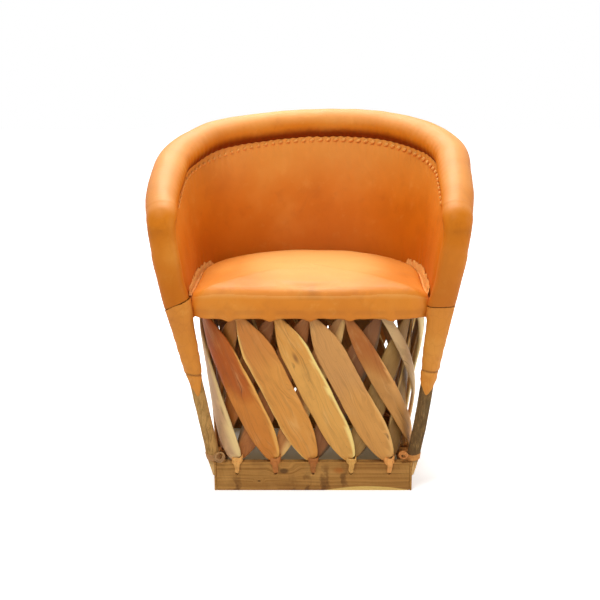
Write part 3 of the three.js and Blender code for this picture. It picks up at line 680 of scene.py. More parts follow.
def back_axis(side):
    """A back pole stands behind the rear board, bows out to the tub's foot and runs up its wall."""
    share = back_pole_share if side > 0 else 1 - back_pole_share
    foot = at(side * 115 * mm, base_deep + 10.75 * mm, 0)
    waist = wall(share, wall_foot_z)[0]
    head = wall(share, rail_z(share))[0]

    def axis(z):
        if z < waist.z:
            way = z / waist.z
            bow = Vector((side * -3 * mm, -4 * mm, 0)) * sin(pi * way)
            spot = foot.lerp(waist, way) + bow
        else:
            way = (z - waist.z) / (head.z - waist.z)
            spot = waist.lerp(head, way)
        spot.z = z
        return spot

    return axis


for side_name, side in sides.items():
    name = f"{side_name}_back_pole"
    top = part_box(name)[1].z - 6 * mm
    branch(name, back_axis(side), pole_foot_z, top, seed=11 + side, girth=12 * mm)

# Seat hoop. A green branch bent into a ring and left in its thin bark. The slat heads are laced to
# it from inside, and the seat's leather is stretched over it from outside.
head_plan_hoop = drum(1)


def hoop(u, v):
    spot, out = head_plan_hoop.spot(v % 1)
    c, s = rounded(u)
    along = rounded(v)
    radius = hoop_tube * (0.955 + 0.04 * uneven(along[0] * 9, along[1] * 9, c))
    return spot + out * radius * c + lift(hoop_mid_z + radius * s)


shown("bent_seat_hoop", skin(14, 160, hoop), bark, "bark_wood", ["seat_hoop"])

# Seat webbing. Strips of rawhide are pulled wet across the hoop and woven over and under, then
# dry as tight as a drum. They carry the pad.
radii = {"front_radius": 40 * mm, "rear_radius": apron_half * 0.92}
apron_plan = rounded_plan(apron_half, apron_front, apron_rear, **radii)
pad_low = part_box("seat_pad")[0]
rawhide = Finish("dried_rawhide")
hide_grain = rawhide.noise(rawhide.place, 60, 4, 0.6)
hide_fibre = rawhide.noise(rawhide.place, 520, 4, 0.6)
rawhide_colour = rawhide.coats(
    (172, 112, 52),
    ((232, 184, 118), hide_grain.above(0.3, 0.7)),
    ((142, 84, 34), hide_fibre.above(0.55, 0.75) * 0.4),
)
rawhide.bump(hide_fibre + hide_grain, 0.0005, 0.7)
rawhide.set(Base_Color=rawhide_colour, Roughness=0.62 - hide_grain * 0.15)
web_pitch = 37 * mm
web_half = 15.5 * mm
web_z = pad_low.z - 1.8 * mm
web_edge = [apron_plan.spot(i / 720, -3.2 * mm)[0] for i in range(720)]


def web_span(axis, level):
    """Where a straight line across the seat meets the hoop, on either side."""
    met = []
    for a, b in zip(web_edge, web_edge[1:] + web_edge[:1]):
        if a[axis] != b[axis] and (a[axis] - level) * (b[axis] - level) <= 0:
            met.append(mix(a[1 - axis], b[1 - axis], (level - a[axis]) / (b[axis] - a[axis])))
    return min(met), max(met)


def web_strip(axis, middle, phase):
    """One strip, which rises over one crossing strip and dips under the next."""
    spans = [web_span(axis, middle + web_half * k / 4) for k in range(-4, 5)]

    def surface(u, v):
        side, top = capped(u, v, 0.7, 0.6)
        place = (side + 1) * 4
        i = min(int(place), 7)
        ends = [mix(spans[i][k], spans[i + 1][k], place - i) for k in (0, 1)]
        run = mix(ends[0], ends[1], v)
        z = web_z + 0.75 * mm * cos(pi * run / web_pitch + phase) + 0.6 * mm * top
        across = middle + web_half * side
        return Vector((across, run, z) if axis == 0 else (run, across, z))

    return skin(12, 60, surface)


def together(parts):
    """One bmesh of several."""
    whole = bmesh.new()
    carried = bpy.data.meshes.new("carried")
    for part in parts:
        part.to_mesh(carried)
        part.free()
        whole.from_mesh(carried)
    bpy.data.meshes.remove(carried)
    return whole


web_strips = []
for axis, first, last in ((0, -5, 5), (1, -4, 4)):
    for i in range(first, last + 1):
        middle = i * web_pitch + (0 if axis == 0 else middle_y)
        low_edge, high_edge = min(p[axis] for p in web_edge), max(p[axis] for p in web_edge)
        if low_edge + web_half < middle < high_edge - web_half:
            phase = pi * (i + axis) - (pi * middle_y / web_pitch if axis == 0 else 0)
            web_strips.append(web_strip(axis, middle, phase))
shown("woven_rawhide_web", together(web_strips), rawhide, "rawhide", ["seat_webbing"])

# Lower lacing. At every tie a strip of soft orange hide is wound round the two slat feet, brought
# down over the board's edge and pulled into its hole. A lashing binds each pole's foot.


def soft_hide(name, dye, creases=1.0, gloss=0.5, painted_height_light=(0, 0), facing=(0, 0), lit=(255, 196, 112)):
    """Vegetable-tanned leather: mottled orange dye, fine grain, creases and a waxy sheen. Where it is
    given light by height it has painted shade low down and painted light up high, and where its
    facing is marked it has a painted highlight on top and painted shade underneath."""
    hide = Finish(name)
    dye = dye or hide.mark("tone", "Color")
    cloud = hide.noise(hide.place, 7, 3, 0.55)
    mottle = hide.noise(hide.place, 34, 4, 0.6)
    pull = hide.noise(hide.place, (17, 17, 11), 4, 0.6, 0.8)
    grain = hide.cells(hide.place, 900)
    crease = hide.cells(hide.place, (60, 60, 34), "DISTANCE_TO_EDGE")
    deep = hide.coats(dye, ((150, 58, 0), 0.55))
    pale = hide.coats(dye, ((255, 200, 104), 0.5))
    shade = hide.coats(
        dye,
        (deep, cloud.below(0.22, 0.5) * 0.4),
        (pale, cloud.above(0.5, 0.8) * 0.35),
        (pale, mottle.above(0.56, 0.78) * 0.3),
        (deep, mottle.below(0.24, 0.46) * 0.28),
        (deep, pull.above(0.56, 0.72) * 0.22),
        (deep, crease.below(0.0, 0.05) * 0.16 * creases),
        # Dark seam lines; on the seat this mark also carries painted shade in a dent near the front.
        ((84, 36, 8), hide.mark("seam") * 0.85),
    )
    # Painted light by height: painted shade deepens the hide low down, painted light makes it pale up
    # high.
    if any(painted_height_light):
        high = hide.parts_of(hide.place)[2] + (cloud - 0.5) * 0.12
        low_share, high_share = high.below(0.4, 0.58) * painted_height_light[0], high.above(0.5, 0.68) * painted_height_light[1]
        shade = hide.coats(shade, (deep, low_share), (pale, high_share))
    # Painted shade where the hide looks down, as under the roll, and a painted highlight where it looks
    # up.
    if any(facing):
        up = hide.mark("facing")
        under_share, lit_share = up.below(0.26, 0.58) * facing[0], up.above(0.55, 0.98) * facing[1]
        shade = hide.coats(shade, ((112, 32, 0), under_share), (lit, lit_share))
    folds = crease.above(0.0, 0.07) * 0.35 * creases
    hide.bump(mottle * 0.5 + grain * 0.25 + pull * 0.7 + folds, 0.0009, 0.45)
    roughness = 0.92 - gloss + mottle * 0.16 + grain * 0.06
    hide.set(Base_Color=shade, Roughness=roughness, Specular_IOR_Level=0.3)
    return hide


def marked(bm, layer, mark):
    """Marks a bmesh for its material: at each corner with what mark gives for the vertex there."""
    marks = bm.loops.layers.float_color.new(layer)
    for face in bm.faces:
        for loop in face.loops:
            value = mark(loop.vert)
            loop[marks] = value if isinstance(value, tuple) else (value, value, value, 1)
    return bm


def facing_marked(bm, low=0.0, wear_and_painted_light=lambda spot, normal: 0):
    """Marks how each place on a hide faces, for its painted light: 1 where it looks up and takes a
    painted highlight, 0 where it looks down and takes painted shade, shifted by what the given function
    adds. Below a height it stays even, painted a little paler at the right, where the light comes from,
    and where it faces out of the tub its painted shade is held weaker."""

    def facing(vert):
        spot, normal = vert.co, vert.normal
        up = 0.5 + 0.5 * normal.z
        up = max(up + wear_and_painted_light(spot, normal), min(up, 0.57))
        up = mix(0.57 if spot.x < 0 else 0.64, up, held((spot.z - low) / (40 * mm)))
        outer = Vector((spot.x, spot.y - middle_y, 0)).normalized().dot(normal)
        return mix(up, max(up, 0.46), held(outer * 3))

    bm.normal_update()
    return marked(bm, "facing", facing)


tie_leather = soft_hide("tie_leather", None, creases=1.6, gloss=0.42)
foot_line = drum(0)
head_line = drum(0.985)


def through(points, way):
    """A smooth line through points of any kind, followed by a share of their number."""
    place = held(way) * (len(points) - 1)
    i = min(int(place), len(points) - 2)
    f = place - i
    a, b, c, d = (points[min(max(i + k, 0), len(points) - 1)] for k in (-1, 0, 1, 2))
    return tuple(
        q + f * 0.5 * (r - p + f * (2 * p - 5 * q + 4 * r - s + f * (3 * (q - r) + s - p)))
        for p, q, r, s in zip(a, b, c, d)
    )


def sideways_of(out):
    return Vector((-out.y, out.x, 0))


def wound_wrap(plan, share, z, half, tall, seed, drop=0.0):
    """A strip of hide wound twice round a pair of slat ends; drop lowers it in front and behind."""
    centre, out = plan.spot(share % 1)
    across = sideways_of(out)
    draw = random.Random(seed)
    tilt, swell, twist = (draw.uniform(-1, 1) for _ in range(3))
    depth, thick = 11.4 * mm, 1.7 * mm

    def surface(u, v):
        round_way = tau * v
        c, s = rounded(v)
        ring = rounded(v, 0.66, 0.66)
        lump = uneven(c * 1.6 + seed, s * 1.6, 0)
        height = tall * (0.5 + 0.14 * lump + 0.08 * swell) * (1 - 0.35 * c * c)
        puff, up = rounded(u, 0.8, 0.8)
        up *= height
        puff *= thick * (1 - 0.25 * abs(sin(tau * u)))
        puff += 1.1 * mm * uneven(c * 2.2, s * 2.2 + seed, up * 260) - 0.7 * mm
        puff += 1.5 * mm * abs(sin(up / tall * tau * 1.05 + 0.5 * twist * round_way))
        spot = centre + across * ring[0] * half + out * ring[1] * depth
        outward = (across * c + out * s).normalized()
        return spot + outward * puff + lift(z + up - drop * softened(abs(s), 1.6) + 1.8 * mm * tilt * c)

    return skin(16, 48, surface)


def toned(bm, colour):
    """Paints a piece of the lacing with its own tone of leather."""
    shade = tint(*colour)
    return marked(bm, "tone", lambda vert: shade)


def strap(frame_at, points, seed, thick=1.2 * mm):
    """A strip of hide that follows points of out, up and half width, with a few lengthwise folds."""
    centre, out = frame_at
    across = sideways_of(out)

    def surface(u, v):
        way = held((v - 0.02) / 0.96)
        reach, up, half = through(points, way)
        ahead, behind = through(points, way + 0.02), through(points, way - 0.02)
        run = Vector((ahead[0] - behind[0], ahead[1] - behind[1])).normalized()
        edge, depth = capped(u, v, 0.8, 0.8)
        depth = thick * depth + 0.5 * mm * sin(edge * 5 + seed) * (1 - way)
        depth += 0.5 * mm * uneven(edge * 2, way * 7, seed)
        sway = 1.6 * mm * uneven(seed, way * 3, 2)
        bow = -1.4 * mm * edge * edge * (1 - way)
        sideways = across * (edge * half + sway)
        return centre + sideways + out * (reach + (depth + bow) * run.y) + lift(up - depth * run.x)

    return skin(12, 26, surface)


hole_z = board_top - 24 * mm
lower_ties = []
tie_tones = {0: (172, 104, 44), 1: (226, 170, 88), 2: (240, 166, 88)}
tie_tones |= {16: (236, 172, 92), 17: (200, 126, 60)}
other_tie_tones = [(222, 152, 76), (206, 132, 60), (230, 164, 88)]
board_face = board_wall / 2
for tie in range(tie_count):
    place = foot_line.spot(foot_tie(tie))
    draw = random.Random(tie + 7)
    tone = tie_tones.get(tie, draw.choice(other_tie_tones))
    wide = draw.uniform(8.4, 9.8) * mm
    size = {"half": 9.4 * mm, "tall": 16 * mm, "drop": 5 * mm}
    wrap = wound_wrap(foot_line, foot_tie(tie), board_top + 7 * mm, seed=tie + 3, **size)
    lower_ties.append(toned(wrap, tone))
    for facing in (1, -1):
        narrow = draw.uniform(4.4, 6) * mm
        down = [
            (12.6 * mm, board_top + 4 * mm, wide * 0.6),
            (13.6 * mm, board_top - 3 * mm, wide * 0.62),
            (12.4 * mm, board_top - 9 * mm, narrow * 1.08),
            (board_face + 2.4 * mm, board_top - 13 * mm, narrow),
            (board_face + 1.7 * mm, board_top - 17 * mm, narrow),
            (board_face + 1.4 * mm, hole_z + 4 * mm, narrow * 0.86),
            (board_face - 0.4 * mm, hole_z + 0.9 * mm, 2.6 * mm),
            (board_face - 5 * mm, hole_z, 2.2 * mm),
        ]
        down = [(facing * out, up, half) for out, up, half in down]
        lower_ties.append(toned(strap(place, down, tie + (0.5 if facing > 0 else 0.2)), tone))


def lashing(axis, z, tall, seed, radius):
    """Turns of thin hide round a pole's foot."""

    def surface(u, v):
        round_way = tau * v
        out = Vector((*rounded(v), 0))
        puff, up = rounded(u, 0.7, 0.8)
        up *= tall / 2
        puff = 1.2 * mm + puff * 1.3 * mm + 0.8 * mm * sin(up * 1900 + round_way)
        puff += 0.7 * mm * noise.noise(out * 2 + lift(seed))
        return axis(z + up + 1.5 * mm * sin(round_way + seed)) + out * (radius + puff)

    return skin(16, 36, surface)


def stretched_strip(start, stop, seed):
    """A flat strip of hide, 9 mm wide, pulled tight between two places."""
    side = (stop - start).normalized().cross(lift(1)).normalized()

    def surface(u, v):
        deep, wide = capped(u, v, 0.8, 0.8)
        wide *= 9 * mm / 2 * (1 - 0.25 * sin(pi * v))
        twist = 0.35 * uneven(seed, v * 3, 0)
        return start.lerp(stop, v) + lift(wide) + side * (deep * 1.2 * mm + wide * twist)

    return skin(10, 16, surface)


lash_z = board_top + 8.5 * mm
lash_tone = (208, 140, 70)
for side in (1, -1):
    turns = lashing(partial(arm_bow, side), lash_z, tall=14 * mm, seed=side, radius=12.4 * mm)
    lower_ties.append(toned(turns, lash_tone if side > 0 else (180, 130, 80)))
    axis = back_axis(side)
    turns = lashing(axis, lash_z, tall=12 * mm, seed=side + 5, radius=11 * mm)
    lower_ties.append(toned(turns, lash_tone))
    # Each pole is held to the nearest tie of the side by a strip: where it starts at the pole's foot,
    # which tie it reaches, and where it ends there.
    arm_end = arm_axis(side, lash_z) + Vector((side * 8 * mm, 9 * mm, 0))
    back_end = axis(lash_z) + Vector((-side * 9 * mm, -7 * mm, 0))
    arm_strip = (arm_end, 3 if side > 0 else 15, Vector((side * 12 * mm, -14 * mm, lash_z)), side)
    back_strip = (back_end, 8 if side > 0 else 10, Vector((side * 16 * mm, 11 * mm, lash_z)), side + 3)
    for start, tie, reach, seed in (arm_strip, back_strip):
        strip = stretched_strip(start, foot_line.spot(foot_tie(tie))[0] + reach, seed)
        lower_ties.append(toned(strip, lash_tone))


def closed_end(v, power):
    """How full a thong is along its length: round and closed at both ends."""
    return sin(pi * v) ** power if 0 < v < 1 else 0


def curl(centre, first, last, turns, thick, tilt, seed):
    """The tail of a thong, left curled up where it was cut: a coil that goes from its first radius
    to its last."""
    aside = Vector((1, 0, 0))
    upward = Vector((0, sin(tilt), cos(tilt)))

    def surface(u, v):
        round_way = tau * turns * v + seed
        ring = aside * cos(round_way) + upward * sin(round_way)
        ahead = upward * cos(round_way) - aside * sin(round_way)
        over = ring.cross(ahead).normalized()
        lump = 0.7 * mm * uneven(round_way, seed, 0)
        middle = centre + ring * (mix(first, last, v) + lump) + over * 4.4 * mm * (v - 0.5)
        c, s = rounded(u)
        return middle + (ring * c + over * s * 1.5) * thick * closed_end(v, 0.25)

    return skin(9, 70, surface)


def inner_line(u, v):
    """The thong that runs on from hole to hole inside the boards."""
    inside = 20.9 * mm
    line = rounded_plan(base_half - inside, inside - base_deep, base_deep - inside, 22 * mm, 22 * mm)
    spot, out = line.spot(v % 1)
    c, s = rounded(u)
    return spot + out * 1.1 * mm * c + lift(hole_z + 3.2 * mm * s)


lower_ties.append(toned(skin(8, 120, inner_line), lash_tone))
tie_front = front_low.y - 4 * mm
right_corner, left_corner = Vector((184 * mm, tie_front, 0)), Vector((-191 * mm, tie_front, 0))
right_coil = {"first": 9 * mm, "last": 4.5 * mm, "turns": 2.2, "thick": 2.3 * mm, "tilt": -0.3}
left_coil = {"first": 11 * mm, "last": 6 * mm, "turns": 1.7, "thick": 2.2 * mm, "tilt": 0.5}
right_knot = curl(right_corner + lift(board_top + 17 * mm), seed=1.0, **right_coil)
left_knot = curl(left_corner + lift(board_top + 14 * mm), seed=2.4, **left_coil)
lower_ties += [toned(right_knot, (200, 128, 62)), toned(left_knot, (166, 124, 78))]
shown("lower_hide_lacing", together(lower_ties), tie_leather, "rawhide", ["lower_lacing"])

# Upper lacing. The same soft strips are wound round each pair of slat heads and carried over the
# hoop, so the lattice hangs from it.
upper_ties = []
head_wrap_z = slat_head_z - 9.5 * mm
clear = hoop_tube + 1.5 * mm
up_and_over = [
    (12.2 * mm, head_wrap_z - 1 * mm, 7 * mm),
    (clear, head_wrap_z + 7 * mm, 7 * mm),
    (clear, hoop_mid_z, 6.5 * mm),
    (clear * 0.72, hoop_mid_z + clear * 0.72, 6.5 * mm),
    (0, hoop_mid_z + clear, 6.5 * mm),
]
over = [(-out, up, half) for out, up, half in up_and_over] + up_and_over[-2::-1]
for tie in range(tie_count):
    share = head_tie(tie)
    size = {"half": 14 * mm, "tall": 12 * mm}
    upper_ties.append(wound_wrap(head_line, share, head_wrap_z, seed=tie + 60, **size))
    upper_ties.append(strap(head_plan_hoop.spot(share), over, seed=tie + 0.3, thick=0.9 * mm))
upper_ties = [toned(piece, lash_tone) for piece in upper_ties]
shown("upper_hide_lacing", together(upper_ties), tie_leather, "rawhide", ["upper_lacing"])

# Seat. One hide lies over a stuffed pad, full at the front and drawn down at the sides and back,
# and is pulled down over the hoop as an apron. It is laced through to the ties, which draw its
# lower edge into small tabs. Its top is painted pale as a highlight, fullest in the middle and
# behind, and long use has left soft dents near the front.
pad_middle = mix(apron_front, apron_rear, 0.42)
tie_shares = [head_tie(tie) for tie in range(tie_count)]


def tab(share):
    """1 at a tie and 0 between ties."""
    away = min(min(abs(share - tie), abs(share - tie - 1), abs(share - tie + 1)) for tie in tie_shares)
    return hump(away * apron_plan.length, 10 * mm)


def frontal(outward):
    """1 at the seat's front and 0 at its sides and back."""
    return held(-outward.y * 1.25)


def seat_section(share, outward, way):
    """The hide's section at a share of the outline: under the pad, down inside, round the cut edge,
    up outside and over the crown. Gives how far out it lies, how far in it is drawn, and its height."""
    pulled = tab(share)
    c, s = rounded(share)
    foot = 372.5 - 5.2 * pulled + 1.6 * uneven(c * 7, s * 7, 3)
    top = pad_low.z / mm - 0.1
    stations = [(-1.5, 220, top), (-1.5, 100, top), (-1.5, 12, top), (-1.5, 4, 410), (-1.4, 0, 398)]
    stations += [(-1.4, 0, foot + 1.5), (0.6, 0, foot), (mix(1.8, 2.6, pulled), 0, foot + 1.5)]
    stations += [(mix(2.0, 3.0, pulled), 0, foot + 9), (2.9, 0, 389), (2.7, 0, 396)]
    # From here on the sides and back, first, differ from the front, second.
    ahead = frontal(outward) ** 1.5
    for at_side, at_front in (
        ((1.8, 1.0, 403), (2.1, 0.1, 402.5)),
        ((1.6, 2.8, 409), (1.8, 0.6, 408)),
        ((1.6, 6, 414), (1.9, 2.0, 413.5)),
        ((1.6, 12, 417.6), (2.1, 5.0, 419)),
        ((1.6, 20, 420), (2.4, 10.0, 424.4)),
        ((1.6, 28, 422), (2.4, 17.0, 428.8)),
        ((1.6, 36, 424), (2.3, 26.0, 432.4)),
    ):
        stations.append([mix(a, b, ahead) for a, b in zip(at_side, at_front)])
    return [part * mm for part in through(stations, way)]


crown_share = 0.62
crown_z = 441.8 * mm
seat_front = middle_y + apron_front


def seat(u, v):
    share = u % 1
    spot, outward = apron_plan.spot(share)
    out, inward, z = seat_section(share, outward, v / crown_share)
    middle = at(0, pad_middle, 0)
    across = (spot - middle).length
    crown = max(v - crown_share, 0) / (1 - crown_share)
    drawn = mix(min(inward / across, 1), 1, crown**1.15)
    fall = mix(58 * mm, 42 * mm, frontal(outward))
    z = crown_z - (crown_z - z) * exp(-(drawn * across - inward) / fall)
    c, s = rounded(u)
    wave = 0.9 * mm * uneven(c * 9, s * 9, z * 26)
    corner = hump(spot.y - seat_front - 14 * mm, 46 * mm) * max(0, outward.x**2 - 0.1)
    wave += (9 if spot.x > 0 else 4.6) * mm * corner * hump(z - 400 * mm, 26 * mm)
    place = (spot + outward * (out + wave * (v > 0.2) * (1 - drawn) ** 4)).lerp(middle, drawn)
    if v > 0.45:
        deep = place.y - seat_front
        slack = 2.2 * mm * uneven(place.x * 7, deep * 9, 1)
        slack += 0.9 * mm * uneven(place.x * 19, deep * 30, 5)
        side = abs(place.x + 2 * mm + 14 * mm * uneven(place.x * 9, 2, 0)) / (62 * mm)
        dimple = -3.6 * mm * hump(deep - 26 * mm - 14 * mm * side * side, 10 * mm)
        z += (slack + dimple * max(0, 1 - side**2)) * min(drawn * 6, 1)
    return Vector((place.x, place.y, z))


# The seat has painted shade where it looks down and a painted highlight where it looks up.
seat_leather = soft_hide("seat_leather", (224, 134, 34), creases=0.3, facing=(0.5, 0.62))
corner_seams = (-(apron_half + 1.5 * mm), apron_half + 4.5 * mm)


def corner_seam_and_dent_shade(vert):
    """The hide is pieced at both front corners, where a fine seam runs down the apron, and painted
    shade darkens a dent near the front to brown."""
    x, y, z = vert.co
    away = min(abs(x - seam - 0.12 * (z - 400 * mm) * (1 if seam < 0 else -1)) for seam in corner_seams)
    front = y < seat_front + 42 * mm and z < 421 * mm
    worn = ((x - 2 * mm) / (30 * mm)) ** 2 + ((y - seat_front - 16 * mm) / (24 * mm)) ** 2
    # Painted shade in the dent near the front.
    dent_shade = 0.42 * exp(-worn) * (0.6 + uneven(x * 60, y * 60, z * 60)) * (z > 410 * mm)
    return max(max(0, 1 - away / (2.2 * mm)) * front, dent_shade)


def seat_painted_highlight(spot, normal):
    """Takes painted highlight from the top of the seat at its sides and front, which stay deeper, so it
    is fullest in the middle and behind.
    """
    side = held((abs(spot.x - 12 * mm) - 60 * mm) / (100 * mm))
    front = hump(max(spot.y - seat_front, 0), 150 * mm)
    return (-0.27 * side**1.5 - 0.24 * front) * (normal.z > 0.5)


seat_bm = marked(facing_marked(skin(440, 130, seat), 0.0, seat_painted_highlight), "seam", corner_seam_and_dent_shade)
seat_piece = shown("seat_hide", seat_bm, seat_leather, "hide_leather", ["seat_pad", "seat_apron"])

# Tub hides. Two hides close the tub between the poles: the inner one is drawn smooth and puckers
# where it is sewn to the seat, the outer one covers the poles behind. Both tuck under the roll.
# Both tub hides are painted deeper low down as shade and paler up high as light.
inner_leather = soft_hide("inner_back_leather", (222, 124, 12), creases=0.25, painted_height_light=(0.66, 0.62))
stitch_pitch = 19.5 * mm
outer_leather = soft_hide("outer_back_leather", (218, 128, 32), 0.8, 0.45, painted_height_light=(0.35, 0.15))


def hide_wall(name, finish, node, pucker, top_face, foot_face, low, drop):
    """A hide whose ends turn in behind the arm posts. It reaches from a low edge up to a drop below
    the rail, and its faces lie that far out from the wall's middle at the top and at the foot."""
    outside = top_face > 0
    outward = 1 if outside else -1
    hem_z = low + 11 * mm

    def surface(u, v):
        z = mix(low, rail_z(u) - drop, v)
        around = u * head_plan.length
        from_end = min(u, 1 - u) * head_plan.length
        low_part = max(0, 1 - v / (0.26 + 0.2 * uneven(around * 21, 3, 4))) ** 1.6
        folds = sin(around * 230 + 3.5 * uneven(around * 14, 0, 4)) * low_part
        folds *= hump(from_end - 0.2, 0.17)
        folds *= (0.6 + uneven(around * 17, 7, 0)) * 2.6 * mm
        high_folds = sin(around * tau / stitch_pitch) * v**9 * 0.8 * mm
        waves = 2.6 * mm * uneven(around * 4.5, z * 5, top_face * 90) * sin(pi * v)
        tuck = hump(from_end, 24 * mm) * 7 * mm
        face = mix(foot_face, top_face, v**0.7) + (folds + high_folds + waves) * pucker
        face += outward * (1.2 * mm * sin(pi * v) - tuck)
        if outside:
            over_pole = hump((abs(u - 0.5) - (0.5 - back_pole_share)) * head_plan.length, 15 * mm)
            face += 2.6 * mm * over_pole * sin(pi * min(v * 1.4 + 0.1, 1))
            face += 1.1 * mm * (z < hem_z) - 0.9 * mm * hump(z - hem_z, 3 * mm)
        return wall(u, z, face)[0]

    bm = skin(320, 72, surface)
    flat_area = sum(face.calc_area() for face in bm.faces)
    if outside:
        marked(bm, "seam", lambda vert: 0.7 * max(0, 1 - abs(vert.co.z - hem_z) / (3.4 * mm)))
    piece = shown(name, bm, finish, "hide_leather", [node])
    thickness = piece.modifiers.new("hide_thickness", "SOLIDIFY")
    thickness.thickness = 2.4 * mm
    thickness.offset = 0


inner_place = {"top_face": -22.5 * mm, "foot_face": -16 * mm, "low": 392 * mm, "drop": 20 * mm}
outer_place = {"top_face": 22.5 * mm, "foot_face": 22 * mm, "low": 386 * mm, "drop": 18 * mm}
hide_wall("inner_hide", inner_leather, "inner_back_hide", pucker=1, **inner_place)
hide_wall("outer_hide", outer_leather, "outer_back_hide", pucker=0.8, **outer_place)

# Padded roll and arm posts. One long hide is sewn round a core of reeds, and its ends run on down
# the fronts of the arms, where they taper to the poles and end in a seam above the sleeves.
# The roll's leather has painted shade low on the posts and under the roll, and a painted highlight on
# top.
roll_leather = soft_hide(
    "roll_leather", (216, 123, 20), 0.5, 0.52, painted_height_light=(0.62, 0), facing=(0.92, 0.36), lit=(255, 196, 128)
)
roll_leather.set(Specular_Tint=(1, 0.8, 0.5, 1))
roll_radius = 32 * mm
nose_share = 0.03
seam_z = {1: 396 * mm, -1: 401 * mm}
seam_slope = {1: -0.02, -1: 0.46}


def roll(u, v):
    """The roll, whose first and last shares are its rounded, drooping noses."""
    nose = min(v, 1 - v)
    turn = pi / 2 * (1 - nose / nose_share) if nose < nose_share else 0.0
    share = held((v - nose_share) / (1 - 2 * nose_share))
    spot, out = wall(share, rail_z(share))
    if nose < nose_share:
        reach = 14 * mm * min(1, turn * 2) + 22 * mm * sin(turn)
        spot = spot + Vector((0, -reach, -0.36 * reach))
    c, s = rounded(u)
    behind = sin(pi * share) ** 1.2
    hung = max(0.0, cos(tau * u - pi * 1.13)) ** 2
    scallop = sin(share * head_plan.length * tau / stitch_pitch)
    radius = (roll_radius + 2.4 * mm * behind) * (0.985 + 0.035 * uneven(v * 30, c * 0.9, s * 0.9))
    radius += (6.2 * mm + 0.9 * mm * scallop) * hung * min(1, 8 * share, 8 - 8 * share)
    shoulder = sin(tau * share) ** 2
    spot = spot + lift((-1.4 * behind**4 + 1.6 * shoulder) * mm) + lift(4 * mm * hump(share - 0.69, 0.06))
    spot = spot + out * 6 * mm * hump(share - 0.2, 0.07)
    return spot + (out * c + lift(s)) * radius * max(cos(turn), 0)


def cover_edges(z):
    """How far the post's leather reaches outwards and inwards of the pole's axis, by height."""
    edges = [(370, 28.5, 26), (392, 30, 27), (420, 31.5, 22.5), (445, 32.4, 20)]
    edges += [(480, 34, 21), (525, 33, 22.5), (560, 31.5, 26), (600, 31, 29)]
    place = min(max(z / mm, edges[0][0]), edges[-1][0])
    (low_z, *low), (high_z, *high) = next(pair for pair in zip(edges, edges[1:]) if place <= pair[1][0])
    f = (place - low_z) / (high_z - low_z)
    return [mix(a, b, f * f * (3 - 2 * f)) * mm for a, b in zip(low, high)]


def cover(side):
    """The leather of one arm post, from below its seam up into the end of the roll."""
    top_z, foot_z = rail_front_z + 9 * mm, 370 * mm

    def surface(u, v):
        way = held((v - 0.01) / 0.98)
        z = mix(foot_z, top_z, way)
        rounding = sqrt(max(0.0, 1 - (1 - min((top_z - z) / (34 * mm), 1)) ** 2))
        centre = arm_axis(side, min(z, 562 * mm), 4 * mm)
        outer, inner = cover_edges(z)
        c, s = rounded(u)
        reach = (outer if c * side > 0 else inner) * mix(0.55, 1, rounding)
        deep = mix(18.5 * mm, 22 * mm, way) * mix(0.6, 1, rounding)
        fold = 0.7 * mm * uneven(c * 2, s * 2, z * 22 + side)
        across, front = capped(u, v, 0.8, 0.8)
        return Vector((centre.x + across * reach, centre.y + front * (deep + fold), z))

    return skin(44, 90, surface)


def fused(name, parts, size, rounds):
    """The outer surface of several overlapping closed shells, evened out."""
    mesh = bpy.data.meshes.new(name)
    whole = together(parts)
    whole.to_mesh(mesh)
    whole.free()
    lump = bpy.data.objects.new(name, mesh)
    bpy.context.scene.collection.objects.link(lump)
    remesh = lump.modifiers.new("fused", "REMESH")
    remesh.mode = "VOXEL"
    remesh.voxel_size = size
    made = bmesh.new()
    made.from_mesh(lump.evaluated_get(bpy.context.evaluated_depsgraph_get()).to_mesh())
    bpy.data.objects.remove(lump)
    bpy.data.meshes.remove(mesh)
    even(made, made.verts, rounds)
    return made


def even(bm, verts, rounds):
    axes = {"use_axis_x": True, "use_axis_y": True, "use_axis_z": True}
    for _ in range(rounds):
        bmesh.ops.smooth_vert(bm, verts=verts, factor=0.5, **axes)


def seam_cut(leather, side):
    """Ends an arm post's leather in a flat cut, where the seam to its sleeve lies."""
    slant = Vector((side * seam_slope[side], 0, 1)).normalized()
    middles = {face: face.calc_center_median() for face in leather.faces}
    near = [face for face, middle in middles.items() if middle.z < 450 * mm and middle.x * side > 0]
    corners = dict.fromkeys(vert for face in near for vert in face.verts)
    borders = dict.fromkeys(edge for face in near for edge in face.edges)
    geom = [*corners, *borders, *near]
    where = {"plane_co": arm_axis(side, seam_z[side]), "plane_no": slant, "dist": 1e-5}
    cut = bmesh.ops.bisect_plane(leather, geom=geom, clear_inner=True, **where)["geom_cut"]
    bmesh.ops.holes_fill(leather, edges=[edge for edge in cut if isinstance(edge, bmesh.types.BMEdge)])


leather = fused("roll_form", [skin(44, 620, roll), cover(1), cover(-1)], size=3.3 * mm, rounds=5)
for side in (1, -1):
    bend = arm_axis(side, 548 * mm)
    even(leather, [v for v in leather.verts if (v.co - bend).length < 56 * mm], rounds=22)
    seam_cut(leather, side)


def arm_front_shade(spot, normal):
    """Takes painted light from the fronts of the arms, so they are painted a little deeper than the roll.
    """
    return (-0.2 if spot.x < 0 else -0.29) * max(0, -normal.y) * held(-spot.y / (100 * mm))


covered = ["padded_roll", "right_arm_cover", "left_arm_cover"]
leather = facing_marked(leather, 510 * mm, arm_front_shade)
roll_piece = shown("roll_and_arm_leather", leather, roll_leather, "roll_leather", covered)

